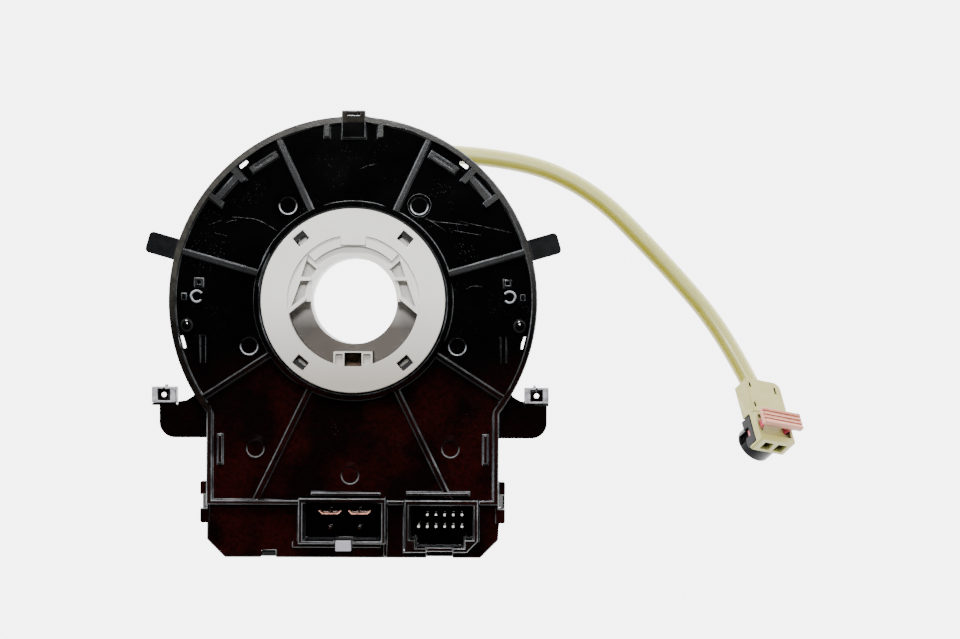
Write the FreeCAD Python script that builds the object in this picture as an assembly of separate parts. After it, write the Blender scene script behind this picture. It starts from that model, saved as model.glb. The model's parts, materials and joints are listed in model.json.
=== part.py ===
import FreeCAD, Part
import math
import os

os.makedirs("parts", exist_ok=True)

# Steering clock spring: the rotary connector between steering wheel and column.
# Millimetres. The turning axis is Z. The wheel side rests on Z = 0 and the column
# side, with its two sockets, faces up. +Y points away from the sockets.

Vec = FreeCAD.Vector
ORIGIN = Vec(0, 0, 0)
UP = Vec(0, 0, 1)

# Clearances
running_gap = 0.4       # between turning and standing walls, measured radially
axial_gap = 0.3         # between turning and standing faces, measured along Z
seat_gap = 0.15         # between curved walls of pieces that sit together

# Rear cover: the big black cap with the rim
cover_radius = 53.0
rim_wall = 1.7
side_wall = 1.6
plate_wall = 2.0
rim_height = 3.3        # rim above the plate
skirt_depth = 9.5       # skirt below the plate's upper face
skirt_gap = 1.5         # open slit between skirt and case wall
rib_width = 1.3
rib_height = 2.4
pocket_width = 1.8      # narrow pockets and slits beside the rim
pocket_length = 7.9
side_slot_width = 3.7
collar_wall = 1.3
collar_height = 3.8
collar_gap = 0.8        # between hub flange and collar

# Lower tongue of the cover, which houses the two sockets
tongue_half_width = 42.0
tongue_reach = 21.0     # lower edge beyond the round cover
tongue_chamfer = 5.2

# Ears, arms and hooks on the edge of the cover
ear_reach = 8.6
ear_width = 6.2
arm_start = -24.0       # upper corner of the arms
arm_tip = 13.9          # tip of each arm beyond its root
clip_width = 7.0        # sheet clips on the arms
clip_depth = 4.5
clip_height = 7.8
clip_wall = 1.75        # two folded layers at the sides
clip_fold = 0.6
clip_foot = 0.8         # lower edge of the boss below the clip
left_clip_tip = 2.2     # outer side of the clip beyond the arm's tip
right_clip_tip = 0.5
screw_radius = 0.7
tab_width = 6.9
tab_proud = 1.7         # top hook beyond the cover's edge
loop_length = 12.0
loop_proud = 1.9
slot_angle = 129.0
side_slot_angle = 193.8

# Case: the can that holds the flat cable
case_wall = 1.6
lip_width = 3.0
lip_wall = 1.4
case_floor = 2.0

# Rotor
drum_wall = 1.7
rotor_wall = 1.5
wheel_face = 12.0       # height of the wheel-side face above the rest plane
peg_size = 2.2          # pegs that hold the lead clamp
peg_length = 3.0
peg_spacing = 7.0
clamp_width = 12.5
clamp_low = 0.5         # underside of the clamp above the rest plane

# Flat cable
cable_width = 15.8
cable_wall = 0.4
cable_turns = 2
cable_gap = 0.35        # above and below the cable
folded_end_gap = 0.9    # cable to drum and to chamber wall

# Hub: the pale flanged bush that shows in the middle, from its bore outwards
bore_radius = 12.5
tube_wall = 1.4
cup_room = 5.0          # between the tube and the cup's wall
cup_wall = 1.0
hook_room = 0.7         # between the cup's wall and each hook
hook_wall = 1.2
hook_to_drum = 1.7
hub_overhang = 1.3      # flange beyond the drum
hub_flange_wall = 1.6
cup_depth = 14.0
cup_floor_wall = 1.4
pocket_depth = 7.0      # of the pockets between the ribs
hub_rib = 1.1
window_depth = 3.0
window_width = 3.8
hook_reach = 0.7        # how far each hook enters the drum wall
hook_height = 1.6
hook_drop = 5.5         # from flange underside to hook tip
hook_angles = (50, 130, 230, 310)
key_width = 11.2
key_slot = 5.0
notch_width = 5.0       # drive notches in the wheel-side end of the tube
notch_height = 3.5

# Sockets on the column side
socket_wall = 1.25
socket_rise = 5.8       # mouths above the plate
socket_floor = 6.0      # thickness of the block behind each cavity
carrier_height = 6.0    # joint block that both sockets stand on
switch_width = 21.1
switch_depth = 15.0
switch_side = 5.9       # from the side of the tongue
switch_end = 1.8        # from the end of the tongue
socket_chamfer = 3.2
airbag_width = 25.1
airbag_depth = 13.1
airbag_end = 4.2
socket_spacing = 5.4    # between the two sockets
pin_size = 0.64
pin_pitch = 2.5
row_pitch = 3.4
pin_recess = 6.0        # pin tips below the mouths
airbag_pin_pitch = 8.5
airbag_row_pitch = 5.0
latch_width = 4.5
latch_depth = 4.9       # gap for the latch, below the mouth

# Wheel-side socket
wheel_socket_width = 26.0
wheel_socket_depth = 13.0
wheel_socket_floor = 4.7
wheel_pin_recess = 3.5
wheel_pin_count = 6

# Airbag lead and its plug
lead_diameter = 5.4
lead_bore_gap = 0.25
plug_length = 21.8
plug_width = 12.6
plug_height = 5.5
plug_front = 5.8        # front face ahead of the nose axis
nose_radius = 5.6
nose_length = 5.0
lock_width = 14.0
lock_depth = 5.2
lock_wall = 1.8
lock_travel = 2.7
plug_yaw = -76.5        # heading of the plug's front, degrees from +X
plug_pitch = 33.0       # front raised
plug_roll = 40.0        # left side raised

# Route of the lead's centre line, from its clamp on the rotor to the plug
lead_route = [
    (8.0, 43.4, 5.6),
    (33.0, 44.4, 3.9),
    (66.0, 37.0, 2.75),
    (93.0, 9.5, 2.8),
    (109.0, -9.5, 2.75),
    (116.9, -25.6, 6.9),
]

# Levels along Z that follow from the sizes above
lip_top = wheel_face + lip_wall
rotor_face = lip_top + axial_gap
rotor_top = rotor_face + rotor_wall
cable_bottom = rotor_top + cable_gap
cable_top = cable_bottom + cable_width
plate_bottom = cable_top + cable_gap
plate_top = plate_bottom + plate_wall
rim_top = plate_top + rim_height
rib_top = plate_top + rib_height
skirt_bottom = plate_top - skirt_depth
floor_top = wheel_face + case_floor
carrier_top = floor_top + carrier_height
inner_ring_top = rib_top
flange_bottom = inner_ring_top + running_gap
flange_top = flange_bottom + hub_flange_wall
collar_top = plate_top + collar_height
socket_mouth = plate_top + socket_rise
latch_seat = socket_mouth - latch_depth

# Radii that follow from the sizes above
tube_radius = bore_radius + tube_wall
cup_radius = tube_radius + cup_room
window_radius = cup_radius + cup_wall + hook_room + hook_wall
drum_bore = window_radius + hook_to_drum
drum_radius = drum_bore + drum_wall
hub_radius = drum_radius + hub_overhang
rim_radius = cover_radius - rim_wall
case_radius = rim_radius - skirt_gap
chamber_radius = case_radius - case_wall
lip_radius = chamber_radius - lip_width
rotor_radius = chamber_radius - 1.5 * running_gap
cover_hole = drum_radius + running_gap
collar_radius = hub_radius + collar_gap

# Insides of the tongue
tongue_end = cover_radius + tongue_reach
tongue_inner = tongue_half_width - side_wall
case_side = tongue_inner - axial_gap
case_end = tongue_end - side_wall - axial_gap

# Plans of the two sockets: lowest and highest X, then lowest and highest Y
switch_x0 = tongue_half_width - switch_side - switch_width
airbag_x0 = switch_x0 - socket_spacing - airbag_width
switch_y0 = switch_end - tongue_end
airbag_y0 = airbag_end - tongue_end
switch_opening = (switch_x0, switch_x0 + switch_width, switch_y0, switch_y0 + switch_depth)
airbag_opening = (airbag_x0, airbag_x0 + airbag_width, airbag_y0, airbag_y0 + airbag_depth)
divider_y = switch_opening[3] - 0.2

# Places that more than one piece needs
clip_top = plate_bottom + 0.8
clip_bottom = clip_top - clip_height
arm_root = max(tongue_half_width, cover_radius - 11.0)
end_catch_room = case_side - tongue_chamfer + airbag_x0
end_catch_middle = airbag_x0 - 0.45 * end_catch_room
end_catch_x = (end_catch_middle - 1.9, end_catch_middle + 1.9)
catch_y = (14.3 - tongue_end, 18.0 - tongue_end)
latch_x = (airbag_x0 + 10.7, airbag_x0 + 10.7 + latch_width)
switch_notch_x = (switch_x0 + 6.3, switch_x0 + 13.8)
joint_y = (airbag_opening[2] + 0.8, airbag_opening[3] - 1.1)
cable_tail_y = joint_y[1] + 3.2
wheel_socket_y = -(tube_radius + lip_radius) / 2
peg_y = lip_radius - 7.0


# Basic solids

def disc(radius, z0, z1, x=0.0, y=0.0):
    return Part.makeCylinder(radius, z1 - z0, Vec(x, y, z0))


def ring(r_in, r_out, z0, z1, x=0.0, y=0.0):
    return disc(r_out, z0, z1, x, y).cut(disc(r_in, z0, z1, x, y))


def block(x0, x1, y0, y1, z0, z1):
    return Part.makeBox(x1 - x0, y1 - y0, z1 - z0, Vec(x0, y0, z0))


def outline(corners, z0, z1):
    """Prism over a polygon; a corner given as (x, y, r) is rounded with radius r."""
    count = len(corners)
    edges = []
    cuts = []
    for i, corner in enumerate(corners):
        here = Vec(corner[0], corner[1], z0)
        radius = corner[2] if len(corner) > 2 else 0
        if not radius:
            cuts.append((here, here))
            continue
        last = corners[i - 1]
        following = corners[(i + 1) % count]
        back = (Vec(last[0], last[1], z0) - here).normalize()
        ahead = (Vec(following[0], following[1], z0) - here).normalize()
        half = back.getAngle(ahead) / 2
        reach = radius / math.tan(half)
        middle = (back + ahead).normalize() * (radius / math.sin(half) - radius)
        start = here + back * reach
        end = here + ahead * reach
        edges.append(Part.Arc(start, here + middle, end).toShape())
        cuts.append((start, end))
    for i in range(count):
        start = cuts[i][1]
        end = cuts[(i + 1) % count][0]
        edges.append(Part.LineSegment(start, end).toShape())
    wire = Part.Wire(Part.__sortEdges__(edges))
    return Part.Face(wire).extrude(UP * (z1 - z0))


def sector(r_in, r_out, from_angle, to_angle, z0, z1):
    """Part of a ring between two angles in degrees."""
    def at(radius, angle):
        turn = math.radians(angle)
        return Vec(radius * math.cos(turn), radius * math.sin(turn), z0)
    middle = (from_angle + to_angle) / 2
    outer = Part.Arc(at(r_out, from_angle), at(r_out, middle), at(r_out, to_angle))
    inner = Part.Arc(at(r_in, to_angle), at(r_in, middle), at(r_in, from_angle))
    edges = [
        outer.toShape(),
        Part.LineSegment(at(r_out, to_angle), at(r_in, to_angle)).toShape(),
        inner.toShape(),
        Part.LineSegment(at(r_in, from_angle), at(r_out, from_angle)).toShape(),
    ]
    return Part.Face(Part.Wire(edges)).extrude(UP * (z1 - z0))


def turned(shape, angle):
    copy = shape.copy()
    copy.rotate(ORIGIN, UP, angle)
    return copy


def radial_block(angle, r0, r1, width, z0, z1, aside=0.0):
    """Block that points outwards at an angle, from radius r0 to r1."""
    return turned(block(r0, r1, aside - width / 2, aside + width / 2, z0, z1), angle)


def bar(x0, y0, x1, y1, width, z0, z1):
    """Straight wall between two points of the plan."""
    length = math.hypot(x1 - x0, y1 - y0)
    wall = block(0, length, -width / 2, width / 2, z0, z1)
    wall.rotate(ORIGIN, UP, math.degrees(math.atan2(y1 - y0, x1 - x0)))
    wall.translate(Vec(x0, y0, 0))
    return wall


def mirrored(shape):
    return shape.mirror(ORIGIN, Vec(1, 0, 0))


def both_sides(shape):
    return [shape, mirrored(shape)]


def joined(shapes):
    whole = shapes[0].fuse(shapes[1:])
    return whole.removeSplitter()


def save(name, shape):
    for solid in shape.Solids:
        if not solid.isValid():
            raise ValueError(name + " is not a valid solid")
    kept = shape.Solids[0] if len(shape.Solids) == 1 else Part.makeCompound(shape.Solids)
    kept.exportStep("parts/" + name + ".step")
    print(name, len(shape.Solids), "solid(s),", round(kept.Volume, 1), "mm3")


def tongue(half_width, end, chamfer, z0, z1):
    """Lower body below the ring, with its two chamfered corners."""
    start = -0.45 * cover_radius
    corners = [
        (-half_width, start),
        (-half_width, -end + chamfer),
        (-half_width + chamfer, -end),
        (half_width - chamfer, -end),
        (half_width, -end + chamfer),
        (half_width, start),
    ]
    return outline(corners, z0, z1)


def socket_block(opening, margin, z0, z1):
    """Plan of a socket, grown by a margin; the wider socket has a cut corner."""
    x0, x1, y0, y1 = opening
    if opening is airbag_opening:
        return block(x0 - margin, x1 + margin, y0 - margin, y1 + margin, z0, z1)
    cut = socket_chamfer + margin * (2 - math.sqrt(2))
    corners = [
        (x0 - margin, y1 + margin),
        (x0 - margin, y0 - margin),
        (x1 + margin - cut, y0 - margin),
        (x1 + margin, y0 - margin + cut),
        (x1 + margin, y1 + margin),
    ]
    return outline(corners, z0, z1)


# Rear cover and what is moulded on it

def cover_band(z0, z1, dish_only):
    """Upright wall along the edge of the cover."""
    outer = disc(cover_radius, z0, z1)
    inner = disc(rim_radius, z0, z1)
    outer_tongue = tongue(tongue_half_width, tongue_end, tongue_chamfer, z0, z1)
    inner_chamfer = tongue_chamfer - side_wall * (2 - math.sqrt(2))
    inner_tongue = tongue(tongue_inner, tongue_end - side_wall, inner_chamfer, z0, z1)
    if dish_only:
        side = tongue_half_width + 1
        outer_tongue = outer_tongue.cut(block(-side, side, -tongue_end - 1, divider_y - rib_width, z0, z1))
        inner_tongue = inner_tongue.cut(block(-side, side, -tongue_end - 1, divider_y, z0, z1))
    return joined([outer, outer_tongue]).cut([inner, inner_tongue])


def cover_plate():
    plate = joined([
        disc(cover_radius, plate_bottom, plate_top),
        tongue(tongue_half_width, tongue_end, tongue_chamfer, plate_bottom, plate_top),
    ])
    collar = ring(collar_radius, collar_radius + collar_wall, plate_top, collar_top)
    inner_ring = ring(cover_hole, collar_radius + collar_wall, plate_top, inner_ring_top)
    return joined([plate, collar, inner_ring])


def cover_ribs():
    start = collar_radius + collar_wall / 2
    ribs = []
    for angle in (16, 65, 115, 164, 213, 327):
        end = rim_radius + rim_wall / 2
        ribs.append(radial_block(angle, start, end, rib_width, plate_top, rib_top))
    for angle in (244, 296):
        end = (-divider_y + rib_width / 2) / abs(math.sin(math.radians(angle)))
        ribs.append(radial_block(angle, start, end, rib_width, plate_top, rib_top))
    return ribs


def polar(angle, radius):
    """X and Y of a point at an angle in degrees and a distance from the axis."""
    turn = math.radians(angle)
    return radius * math.cos(turn), radius * math.sin(turn)


def guide_rail():
    """Raised rail shaped like an I, near the rim at the upper left."""
    top = plate_top + 2.8
    heads = (143.8, 132.6)
    rail_radius = rim_radius - 2.3
    parts = [radial_block(a, rail_radius - 2.5, rail_radius + 2.3, 1.7, plate_top, top) for a in heads]
    parts.append(bar(*polar(heads[0], rail_radius), *polar(heads[1], rail_radius), 1.9, plate_top, top - 0.3))
    return joined(parts)


def guide_frame():
    """Second rail, a narrow raised frame with a groove along its top."""
    top = plate_top + 2.4
    radius = rim_radius - 3.6
    frame = bar(*polar(128.2, radius), *polar(117.5, radius), 1.9, plate_top, top)
    groove = bar(*polar(126.6, radius), *polar(119.1, radius), 0.7, top - 0.9, top + 1)
    return frame.cut(groove)


def stud():
    """Low round stud inside the rim, left side."""
    x, y = polar(188.5, rim_radius - 2.75)
    return disc(2.1, plate_top, plate_top + 1.7, x, y)


def rim_pads():
    """Small frame and pad above the stud, left side."""
    x0 = -rim_radius + 5.65
    frame = block(x0, x0 + 2.3, 4.0, 6.2, plate_top, plate_top + 1.2)
    frame = frame.cut(block(x0 + 0.5, x0 + 1.8, 4.5, 5.7, plate_top, plate_top + 2))
    pad = block(-rim_radius + 1.8, -rim_radius + 3.2, 0.1, 2.0, plate_top, plate_top + 1.0)
    return [frame, pad]


def bars_beside_wall():
    """Two upright bars along the inside of the tongue's side wall."""
    x0 = -tongue_inner + 1.5
    return block(x0, x0 + 1.4, 27.0 - tongue_end, 35.4 - tongue_end, plate_top, plate_top + 1.8)


def socket_bars():
    """Raised bars above the two sockets, which stop the mating plugs."""
    top = rib_top + 0.4
    y0 = airbag_opening[3] + 0.6
    airbag_bar = block(airbag_opening[0] + 3.5, airbag_opening[1] - 1.5, y0, y0 + 1.0, plate_top, top)
    switch_bar = block(switch_opening[0] + 0.4, switch_opening[1] - 2.6, y0, y0 + 1.0, plate_top, top)
    return [airbag_bar, switch_bar]


def arm_outline(corners, z0, z1):
    """Prism over corners given from the left arm's root and its upper edge."""
    return outline([(-arm_root - c[0], arm_start - c[1], *c[2:]) for c in corners], z0, z1)


def clip_plan(tip_distance):
    """Lowest and highest X and Y of a left clip; its outer side stands off the arm's tip."""
    x0 = -arm_root - arm_tip - tip_distance
    y0 = arm_start - 5.5
    return x0, x0 + clip_width, y0, y0 + clip_depth


def clip_boss(tip_distance):
    """Foot and post on the left arm, inside the sheet clip, with the screw hole."""
    x0, x1, y0, y1 = clip_plan(tip_distance)
    bottom = skirt_bottom - 2.0
    foot = block(x0, x1, y0 - clip_foot, y1, bottom, clip_bottom)
    back = block(x0, x1, y0 - clip_foot, y0 - seat_gap, bottom, clip_top - 1.2)
    post = block(x0 + clip_wall + seat_gap, x1 - clip_wall - seat_gap,
                 y0 + clip_fold + seat_gap, y1 - clip_fold - seat_gap, bottom, clip_top - 0.6)
    screw_hole = disc(screw_radius, bottom - 1, clip_top, (x0 + x1) / 2, (y0 + y1) / 2)
    return joined([foot, back, post]).cut(screw_hole)


def wing(tip_distance):
    """Left bracket arm with a hollow underside, a rounded corner and the boss for its clip."""
    top = plate_bottom
    bottom = skirt_bottom - 2.0
    inwards = arm_root - tongue_half_width + 1.2
    arm = arm_outline([
        (-inwards, 0.0),
        (4.2, 0.9),
        (3.6, 3.3, 1.2),
        (6.4, 4.9),
        (8.6, 5.2),
        (8.6, 6.1),
        (arm_tip, 6.1),
        (arm_tip, 15.6, 4.5),
        (-inwards, 15.6),
    ], bottom, top)
    inner_tip = arm_tip - side_wall
    inside = [(1.6, 7.7), (inner_tip, 7.7), (inner_tip, 14.0, 2.9), (1.6, 14.0)]
    arm = arm.cut(arm_outline(inside, bottom, top - side_wall))
    inner_wall = joined([
        disc(cover_radius - rim_wall / 2, bottom, top),
        tongue(tongue_half_width - side_wall / 2, tongue_end, tongue_chamfer, bottom, top),
    ])
    x0, x1, y0, y1 = clip_plan(tip_distance)
    clip_room = block(x0 - seat_gap, x1 + seat_gap, y0 - seat_gap, y1, clip_bottom, top)
    return joined([arm.cut([inner_wall, clip_room]), clip_boss(tip_distance)])


def ear():
    """Flat locating ear on the rim, at 16 degrees above the X axis."""
    start = rim_radius + rim_wall / 2
    tip = cover_radius + ear_reach
    half = ear_width / 2
    corners = [(start, -half), (tip, -half, 1.3), (tip, half, 1.3), (start, half)]
    return turned(outline(corners, rim_top - 4.2, rim_top - 1.0), 16)


def top_tab():
    """Upright hook in the rim at the top, with a rib at each side."""
    half = tab_width / 2
    back = cover_radius + tab_proud
    hook = block(-half, half, rim_radius - 4.6, back, plate_top, rim_top + 0.6)
    hook = hook.cut(block(1.55 - half, half - 1.55, back - 1.6, back - 0.9, rim_top - 0.6, rim_top + 1))
    below = block(-half, half, cover_radius - 2, back, plate_bottom - 3, plate_top)
    side = block(-8.5, -6.9, rim_radius - 4.3, rim_radius + 0.9, plate_top, rim_top - 0.4)
    return [hook, below] + both_sides(side)


def side_loop():
    """Snap loop on the left side wall: two legs with a window between them."""
    outer = -tongue_half_width - loop_proud
    inner = -tongue_half_width + side_wall / 2
    y0 = catch_y[0] - 4.3
    y1 = y0 + loop_length
    loop = outline([(inner, y1), (outer, y1, 0.6), (outer, y0, 0.6), (inner, y0)],
                   skirt_bottom - 4.0, plate_top + 0.6)
    y_low = catch_y[0] - 0.1
    y_high = catch_y[1] + 0.1
    window = joined([
        block(outer - 1, -tongue_half_width, y_low, y_high, skirt_bottom - 1.0, plate_top + 2),
        block(-tongue_half_width, inner + 2, y_low, y_high, skirt_bottom - 1.0, plate_bottom - 0.6),
    ])
    relief = block(outer + 1.2, inner + 2, y0 + 1.2, y1 - 1.2, skirt_bottom - 5, skirt_bottom)
    return [loop.cut([window, relief])], window


def through_slots():
    """Slits beside the rim; one looks straight down past the case wall."""
    upper = radial_block(slot_angle, case_radius + 0.1, rim_radius - 0.3, 2.8, plate_bottom - 1, rim_top)
    side = radial_block(side_slot_angle, case_radius + 0.15, rim_radius - 0.1, side_slot_width,
                        plate_bottom - 1, rim_top)
    x0 = -rim_radius + 7.1
    y0 = arm_start + 6.0
    pocket = block(x0, x0 + pocket_width, y0, y0 + pocket_length, plate_top - 0.8, rim_top)
    return both_sides(upper) + both_sides(side) + both_sides(pocket)


def rear_cover():
    loop, loop_window = side_loop()
    solid = joined(
        [cover_plate(), cover_band(skirt_bottom, plate_bottom, False)]
        + [cover_band(plate_top, rim_top, True)]
        + cover_ribs()
        + both_sides(guide_rail())
        + both_sides(guide_frame())
        + both_sides(stud())
        + [m for part in rim_pads() for m in both_sides(part)]
        + both_sides(bars_beside_wall())
        + socket_bars()
        + [wing(left_clip_tip), mirrored(wing(right_clip_tip))]
        + both_sides(ear())
        + top_tab()
        + [m for part in loop for m in both_sides(part)]
    )
    lower_notch = block(*switch_notch_x, -tongue_end - 1, switch_opening[2] + 0.1, skirt_bottom + 2, rim_top)
    catch_notch = block(end_catch_x[0] - 0.2, end_catch_x[1] + 0.2, -tongue_end - 1,
                        -tongue_end + side_wall + 0.5, plate_bottom - 4, rim_top)
    cuts = [disc(cover_hole, plate_bottom - 1, collar_top)]
    cuts += through_slots() + both_sides(loop_window)
    cuts += [socket_block(airbag_opening, 0.2, skirt_bottom - 1, rim_top + 2)]
    cuts += [socket_block(switch_opening, 0.2, skirt_bottom - 1, rim_top + 2)]
    cuts += [lower_notch, catch_notch]
    return solid.cut(cuts).removeSplitter()


# Case

def stator_case():
    """Can with a retaining lip on the wheel side and a box below for the joints."""
    chamfer = tongue_chamfer
    ring_wall = ring(chamber_radius, case_radius, wheel_face, plate_bottom)
    lip = ring(lip_radius, case_radius, wheel_face, lip_top)
    box = tongue(case_side, case_end, chamfer, wheel_face, plate_bottom)
    hollow = tongue(case_side - case_wall, case_end - case_wall, chamfer - 0.6, floor_top, plate_bottom)
    box = box.cut(hollow).cut(disc(case_radius - case_wall / 2, wheel_face, plate_bottom))
    box = box.cut(block(-tongue_half_width, tongue_half_width, 19.3 - case_radius, 0, wheel_face, plate_bottom))
    solid = joined([ring_wall, lip, box])
    catch = side_catch()
    end_catch = block(*end_catch_x, -tongue_end + 0.4, -case_end + 0.4,
                      plate_bottom - 3.4, plate_bottom - 0.4)
    solid = joined([solid] + both_sides(catch) + [end_catch])
    slit = radial_block(-90, chamber_radius - 1, case_radius + 1, 2.0, floor_top, plate_bottom)
    notch = socket_block(switch_opening, axial_gap, carrier_top - 0.1, plate_bottom)
    return solid.cut([slit, notch]).removeSplitter()


def side_catch():
    """Wedge that snaps into the left loop of the cover."""
    foot = -case_side + 0.4
    tip = -tongue_half_width - 1.3
    low = skirt_bottom - 0.7
    high = plate_bottom - 0.6
    y0, y1 = catch_y
    points = [Vec(foot, y0, low), Vec(tip, y0, low), Vec(tip, y0, low + 2.2), Vec(foot, y0, high)]
    wire = Part.makePolygon(points + [points[0]])
    return Part.Face(wire).extrude(Vec(0, y1 - y0, 0))


# Flat cable: a spiral of half circles whose centres swap sides of the axis

def flat_cable():
    inner = drum_radius + folded_end_gap
    outer = chamber_radius - folded_end_gap
    halves = 2 * cable_turns
    step = (outer - inner) / halves
    half = cable_wall / 2
    inside = [half_turn(i, inner + (i + 0.5) * step - half, step) for i in range(halves)]
    outside = [half_turn(i, inner + (i + 0.5) * step + half, step) for i in range(halves)]
    edges = [Part.Arc(*h).toShape() for h in inside + outside]
    edges.append(Part.LineSegment(inside[0][0], outside[0][0]).toShape())
    edges.append(Part.LineSegment(inside[-1][2], outside[-1][2]).toShape())
    wire = Part.Wire(Part.__sortEdges__(edges))
    spiral = Part.Face(wire).extrude(UP * cable_width)
    inner_tail = block(0, cable_wall, -inner - half, -drum_bore + 2.2, cable_bottom, cable_top)
    outer_tail = block(-cable_wall, 0, cable_tail_y, -outer + half, cable_bottom, cable_top)
    return joined([spiral, inner_tail, outer_tail])


def half_turn(index, radius, step):
    """Start, middle and end of one half circle; its centre lies half a step off the axis."""
    side = 1 if index % 2 == 0 else -1
    centre = side * step / 2
    start = Vec(0, centre - side * radius, cable_bottom)
    over = Vec(side * radius, centre, cable_bottom)
    end = Vec(0, centre + side * radius, cable_bottom)
    return start, over, end


# Sockets on the column side

def airbag_socket():
    x0, x1, y0, y1 = airbag_opening
    body = block(x0, x1, y0, y1, carrier_top, socket_mouth)
    flange = block(x0 - 1.9, x1 - 1.3, y0 - 1.3, y0 + 0.5, plate_top, plate_top + 1.6)
    foot_flange = block(x0 - 1.2, x1 + 1.2, y0 - 0.3, y1 + 1.0, plate_bottom - 1.6, plate_bottom)
    leg = block(x1 - 0.6, x1 + 0.4, -tongue_end + 0.4, y0 + 0.5, plate_top, plate_top + 2.2)
    solid = joined([body, flange, foot_flange, leg])
    floor = carrier_top + socket_floor
    cavity = block(x0 + socket_wall, x1 - socket_wall, y0 + 0.8, y1 - 1.6, floor, socket_mouth)
    rebate = block(x0 + 2.2, x1 - 2.2, y1 - 1.7, y1 - 0.9, floor + 5, socket_mouth)
    latch_gap = block(latch_x[0] - 0.2, latch_x[1] + 0.2, y0 - 3, y0 + 0.9, latch_seat, socket_mouth)
    return solid.cut([cavity, rebate, latch_gap] + airbag_pin_shapes(floor)).removeSplitter()


airbag_pin_x = (airbag_x0 + 8.9, airbag_x0 + 8.9 + airbag_pin_pitch)
airbag_strip_y = airbag_opening[3] - 3.8
airbag_pin_y = (airbag_strip_y, airbag_strip_y - airbag_row_pitch)


def airbag_pin_shapes(top):
    return [square_pin(x, y, carrier_top, top) for x in airbag_pin_x for y in airbag_pin_y]


def square_pin(x, y, z0, z1, size=pin_size):
    half = size / 2
    return block(x - half, x + half, y - half, y + half, z0, z1)


def airbag_pins():
    return Part.makeCompound(airbag_pin_shapes(socket_mouth - pin_recess))


def airbag_contacts():
    """Two copper bows across the socket that short the squib pins until mating."""
    strips = []
    floor = carrier_top + socket_floor
    for x in airbag_pin_x:
        half = 3.15
        thick = 0.35
        y = airbag_strip_y - 0.75
        flat = block(x - half + 0.8, x + half - 0.8, y - thick, y, floor, floor + 6.0)
        left = bar(x - half + 0.85, y - thick / 2, x - half, y + 0.7, thick, floor, floor + 6.0)
        right = bar(x + half - 0.85, y - thick / 2, x + half, y + 0.7, thick, floor, floor + 6.0)
        strips.append(joined([flat, left, right]))
    return Part.makeCompound(strips)


def airbag_latch():
    """Grey latch block in the gap of the socket's lower wall."""
    y0 = airbag_opening[2]
    x0, x1 = latch_x
    foot_top = socket_mouth - 2.2
    foot = block(x0, x1, y0 - 1.3, y0 + 0.8, latch_seat, foot_top)
    slope = [Vec(x0, y0 + 0.8, foot_top), Vec(x0, y0 - 2.1, foot_top),
             Vec(x0, y0 - 2.1, foot_top + 0.8), Vec(x0, y0 + 0.8, foot_top + 1.8)]
    head = Part.Face(Part.makePolygon(slope + [slope[0]])).extrude(Vec(latch_width, 0, 0))
    return joined([foot, head])


def switch_pin_places():
    x0 = switch_opening[0] + 4.0
    y0 = switch_opening[2] + 7.2
    lower = [(x0 + i * pin_pitch, y0) for i in range(6)]
    upper = [(x0 + (i + 1) * pin_pitch, y0 + row_pitch) for i in range(5)]
    return lower + upper


def switch_socket():
    x0, x1, y0, y1 = switch_opening
    body = socket_block(switch_opening, 0, carrier_top, socket_mouth)
    foot_flange = block(x0 - 1.2, x1 + 1.2, y0 + 5.8, y1 + 1.0, plate_bottom - 1.6, plate_bottom)
    solid = joined([body, foot_flange])
    floor = carrier_top + socket_floor
    ledge = 1.9
    cavity = outline([
        (x0 + socket_wall, y1 - 1.6),
        (x0 + socket_wall, y0 + 3.6),
        (x0 + socket_wall + ledge, y0 + 3.6),
        (x0 + socket_wall + ledge, y0 + socket_wall),
        (x1 - socket_wall - 2.6, y0 + socket_wall),
        (x1 - socket_wall - 2.6, y0 + 3.6),
        (x1 - socket_wall, y0 + 3.6),
        (x1 - socket_wall, y1 - 1.6),
    ], floor, socket_mouth)
    notch = block(*switch_notch_x, y0 - 1, y0 + socket_wall + 0.5, plate_top, socket_mouth)
    pins = [square_pin(x, y, carrier_top, floor) for x, y in switch_pin_places()]
    return solid.cut([cavity, notch] + pins).removeSplitter()


def switch_pins():
    top = socket_mouth - pin_recess
    pins = [square_pin(x, y, carrier_top, top) for x, y in switch_pin_places()]
    return Part.makeCompound(pins)


def stator_joint_block():
    """Carrier under both sockets, with grooves for the bus bars."""
    body = block(airbag_opening[0] + 1.0, switch_opening[1] - 1.1, *joint_y, floor_top, carrier_top)
    fin = block(0, 1.2, joint_y[1], -case_radius - 1.2, floor_top, carrier_top)
    return joined([body, fin]).cut(stator_bar_shapes()).removeSplitter()


def stator_bar_shapes():
    switch_bars = [x for x, y in switch_pin_places()[1:5]]
    bars = []
    for x in list(airbag_pin_x) + switch_bars:
        bars.append(block(x - 0.5, x + 0.5, joint_y[0] + 2.5, joint_y[1] - 0.4, carrier_top - 0.5, carrier_top))
    return bars


def stator_bus_bars():
    return Part.makeCompound(stator_bar_shapes())


def wing_clip(tip_distance):
    """Folded spring-steel sleeve round the boss of the left arm."""
    x0, x1, y0, y1 = clip_plan(tip_distance)
    sleeve = block(x0, x1, y0, y1, clip_bottom, clip_top)
    sleeve = sleeve.cut(block(x0 + clip_wall, x1 - clip_wall, y0 + clip_fold, y1 - clip_fold,
                              clip_bottom, clip_top))
    middle = (x0 + x1) / 2
    seam = block(middle - 0.2, middle + 0.2, y1 - clip_fold, y1 + 1, clip_bottom, clip_top)
    barb = block(middle + 0.2, middle + 0.9, y1, y1 + 0.7, clip_bottom + 2, clip_top - 1.0)
    return joined([sleeve.cut(seam), barb])


# Rotor

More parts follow.
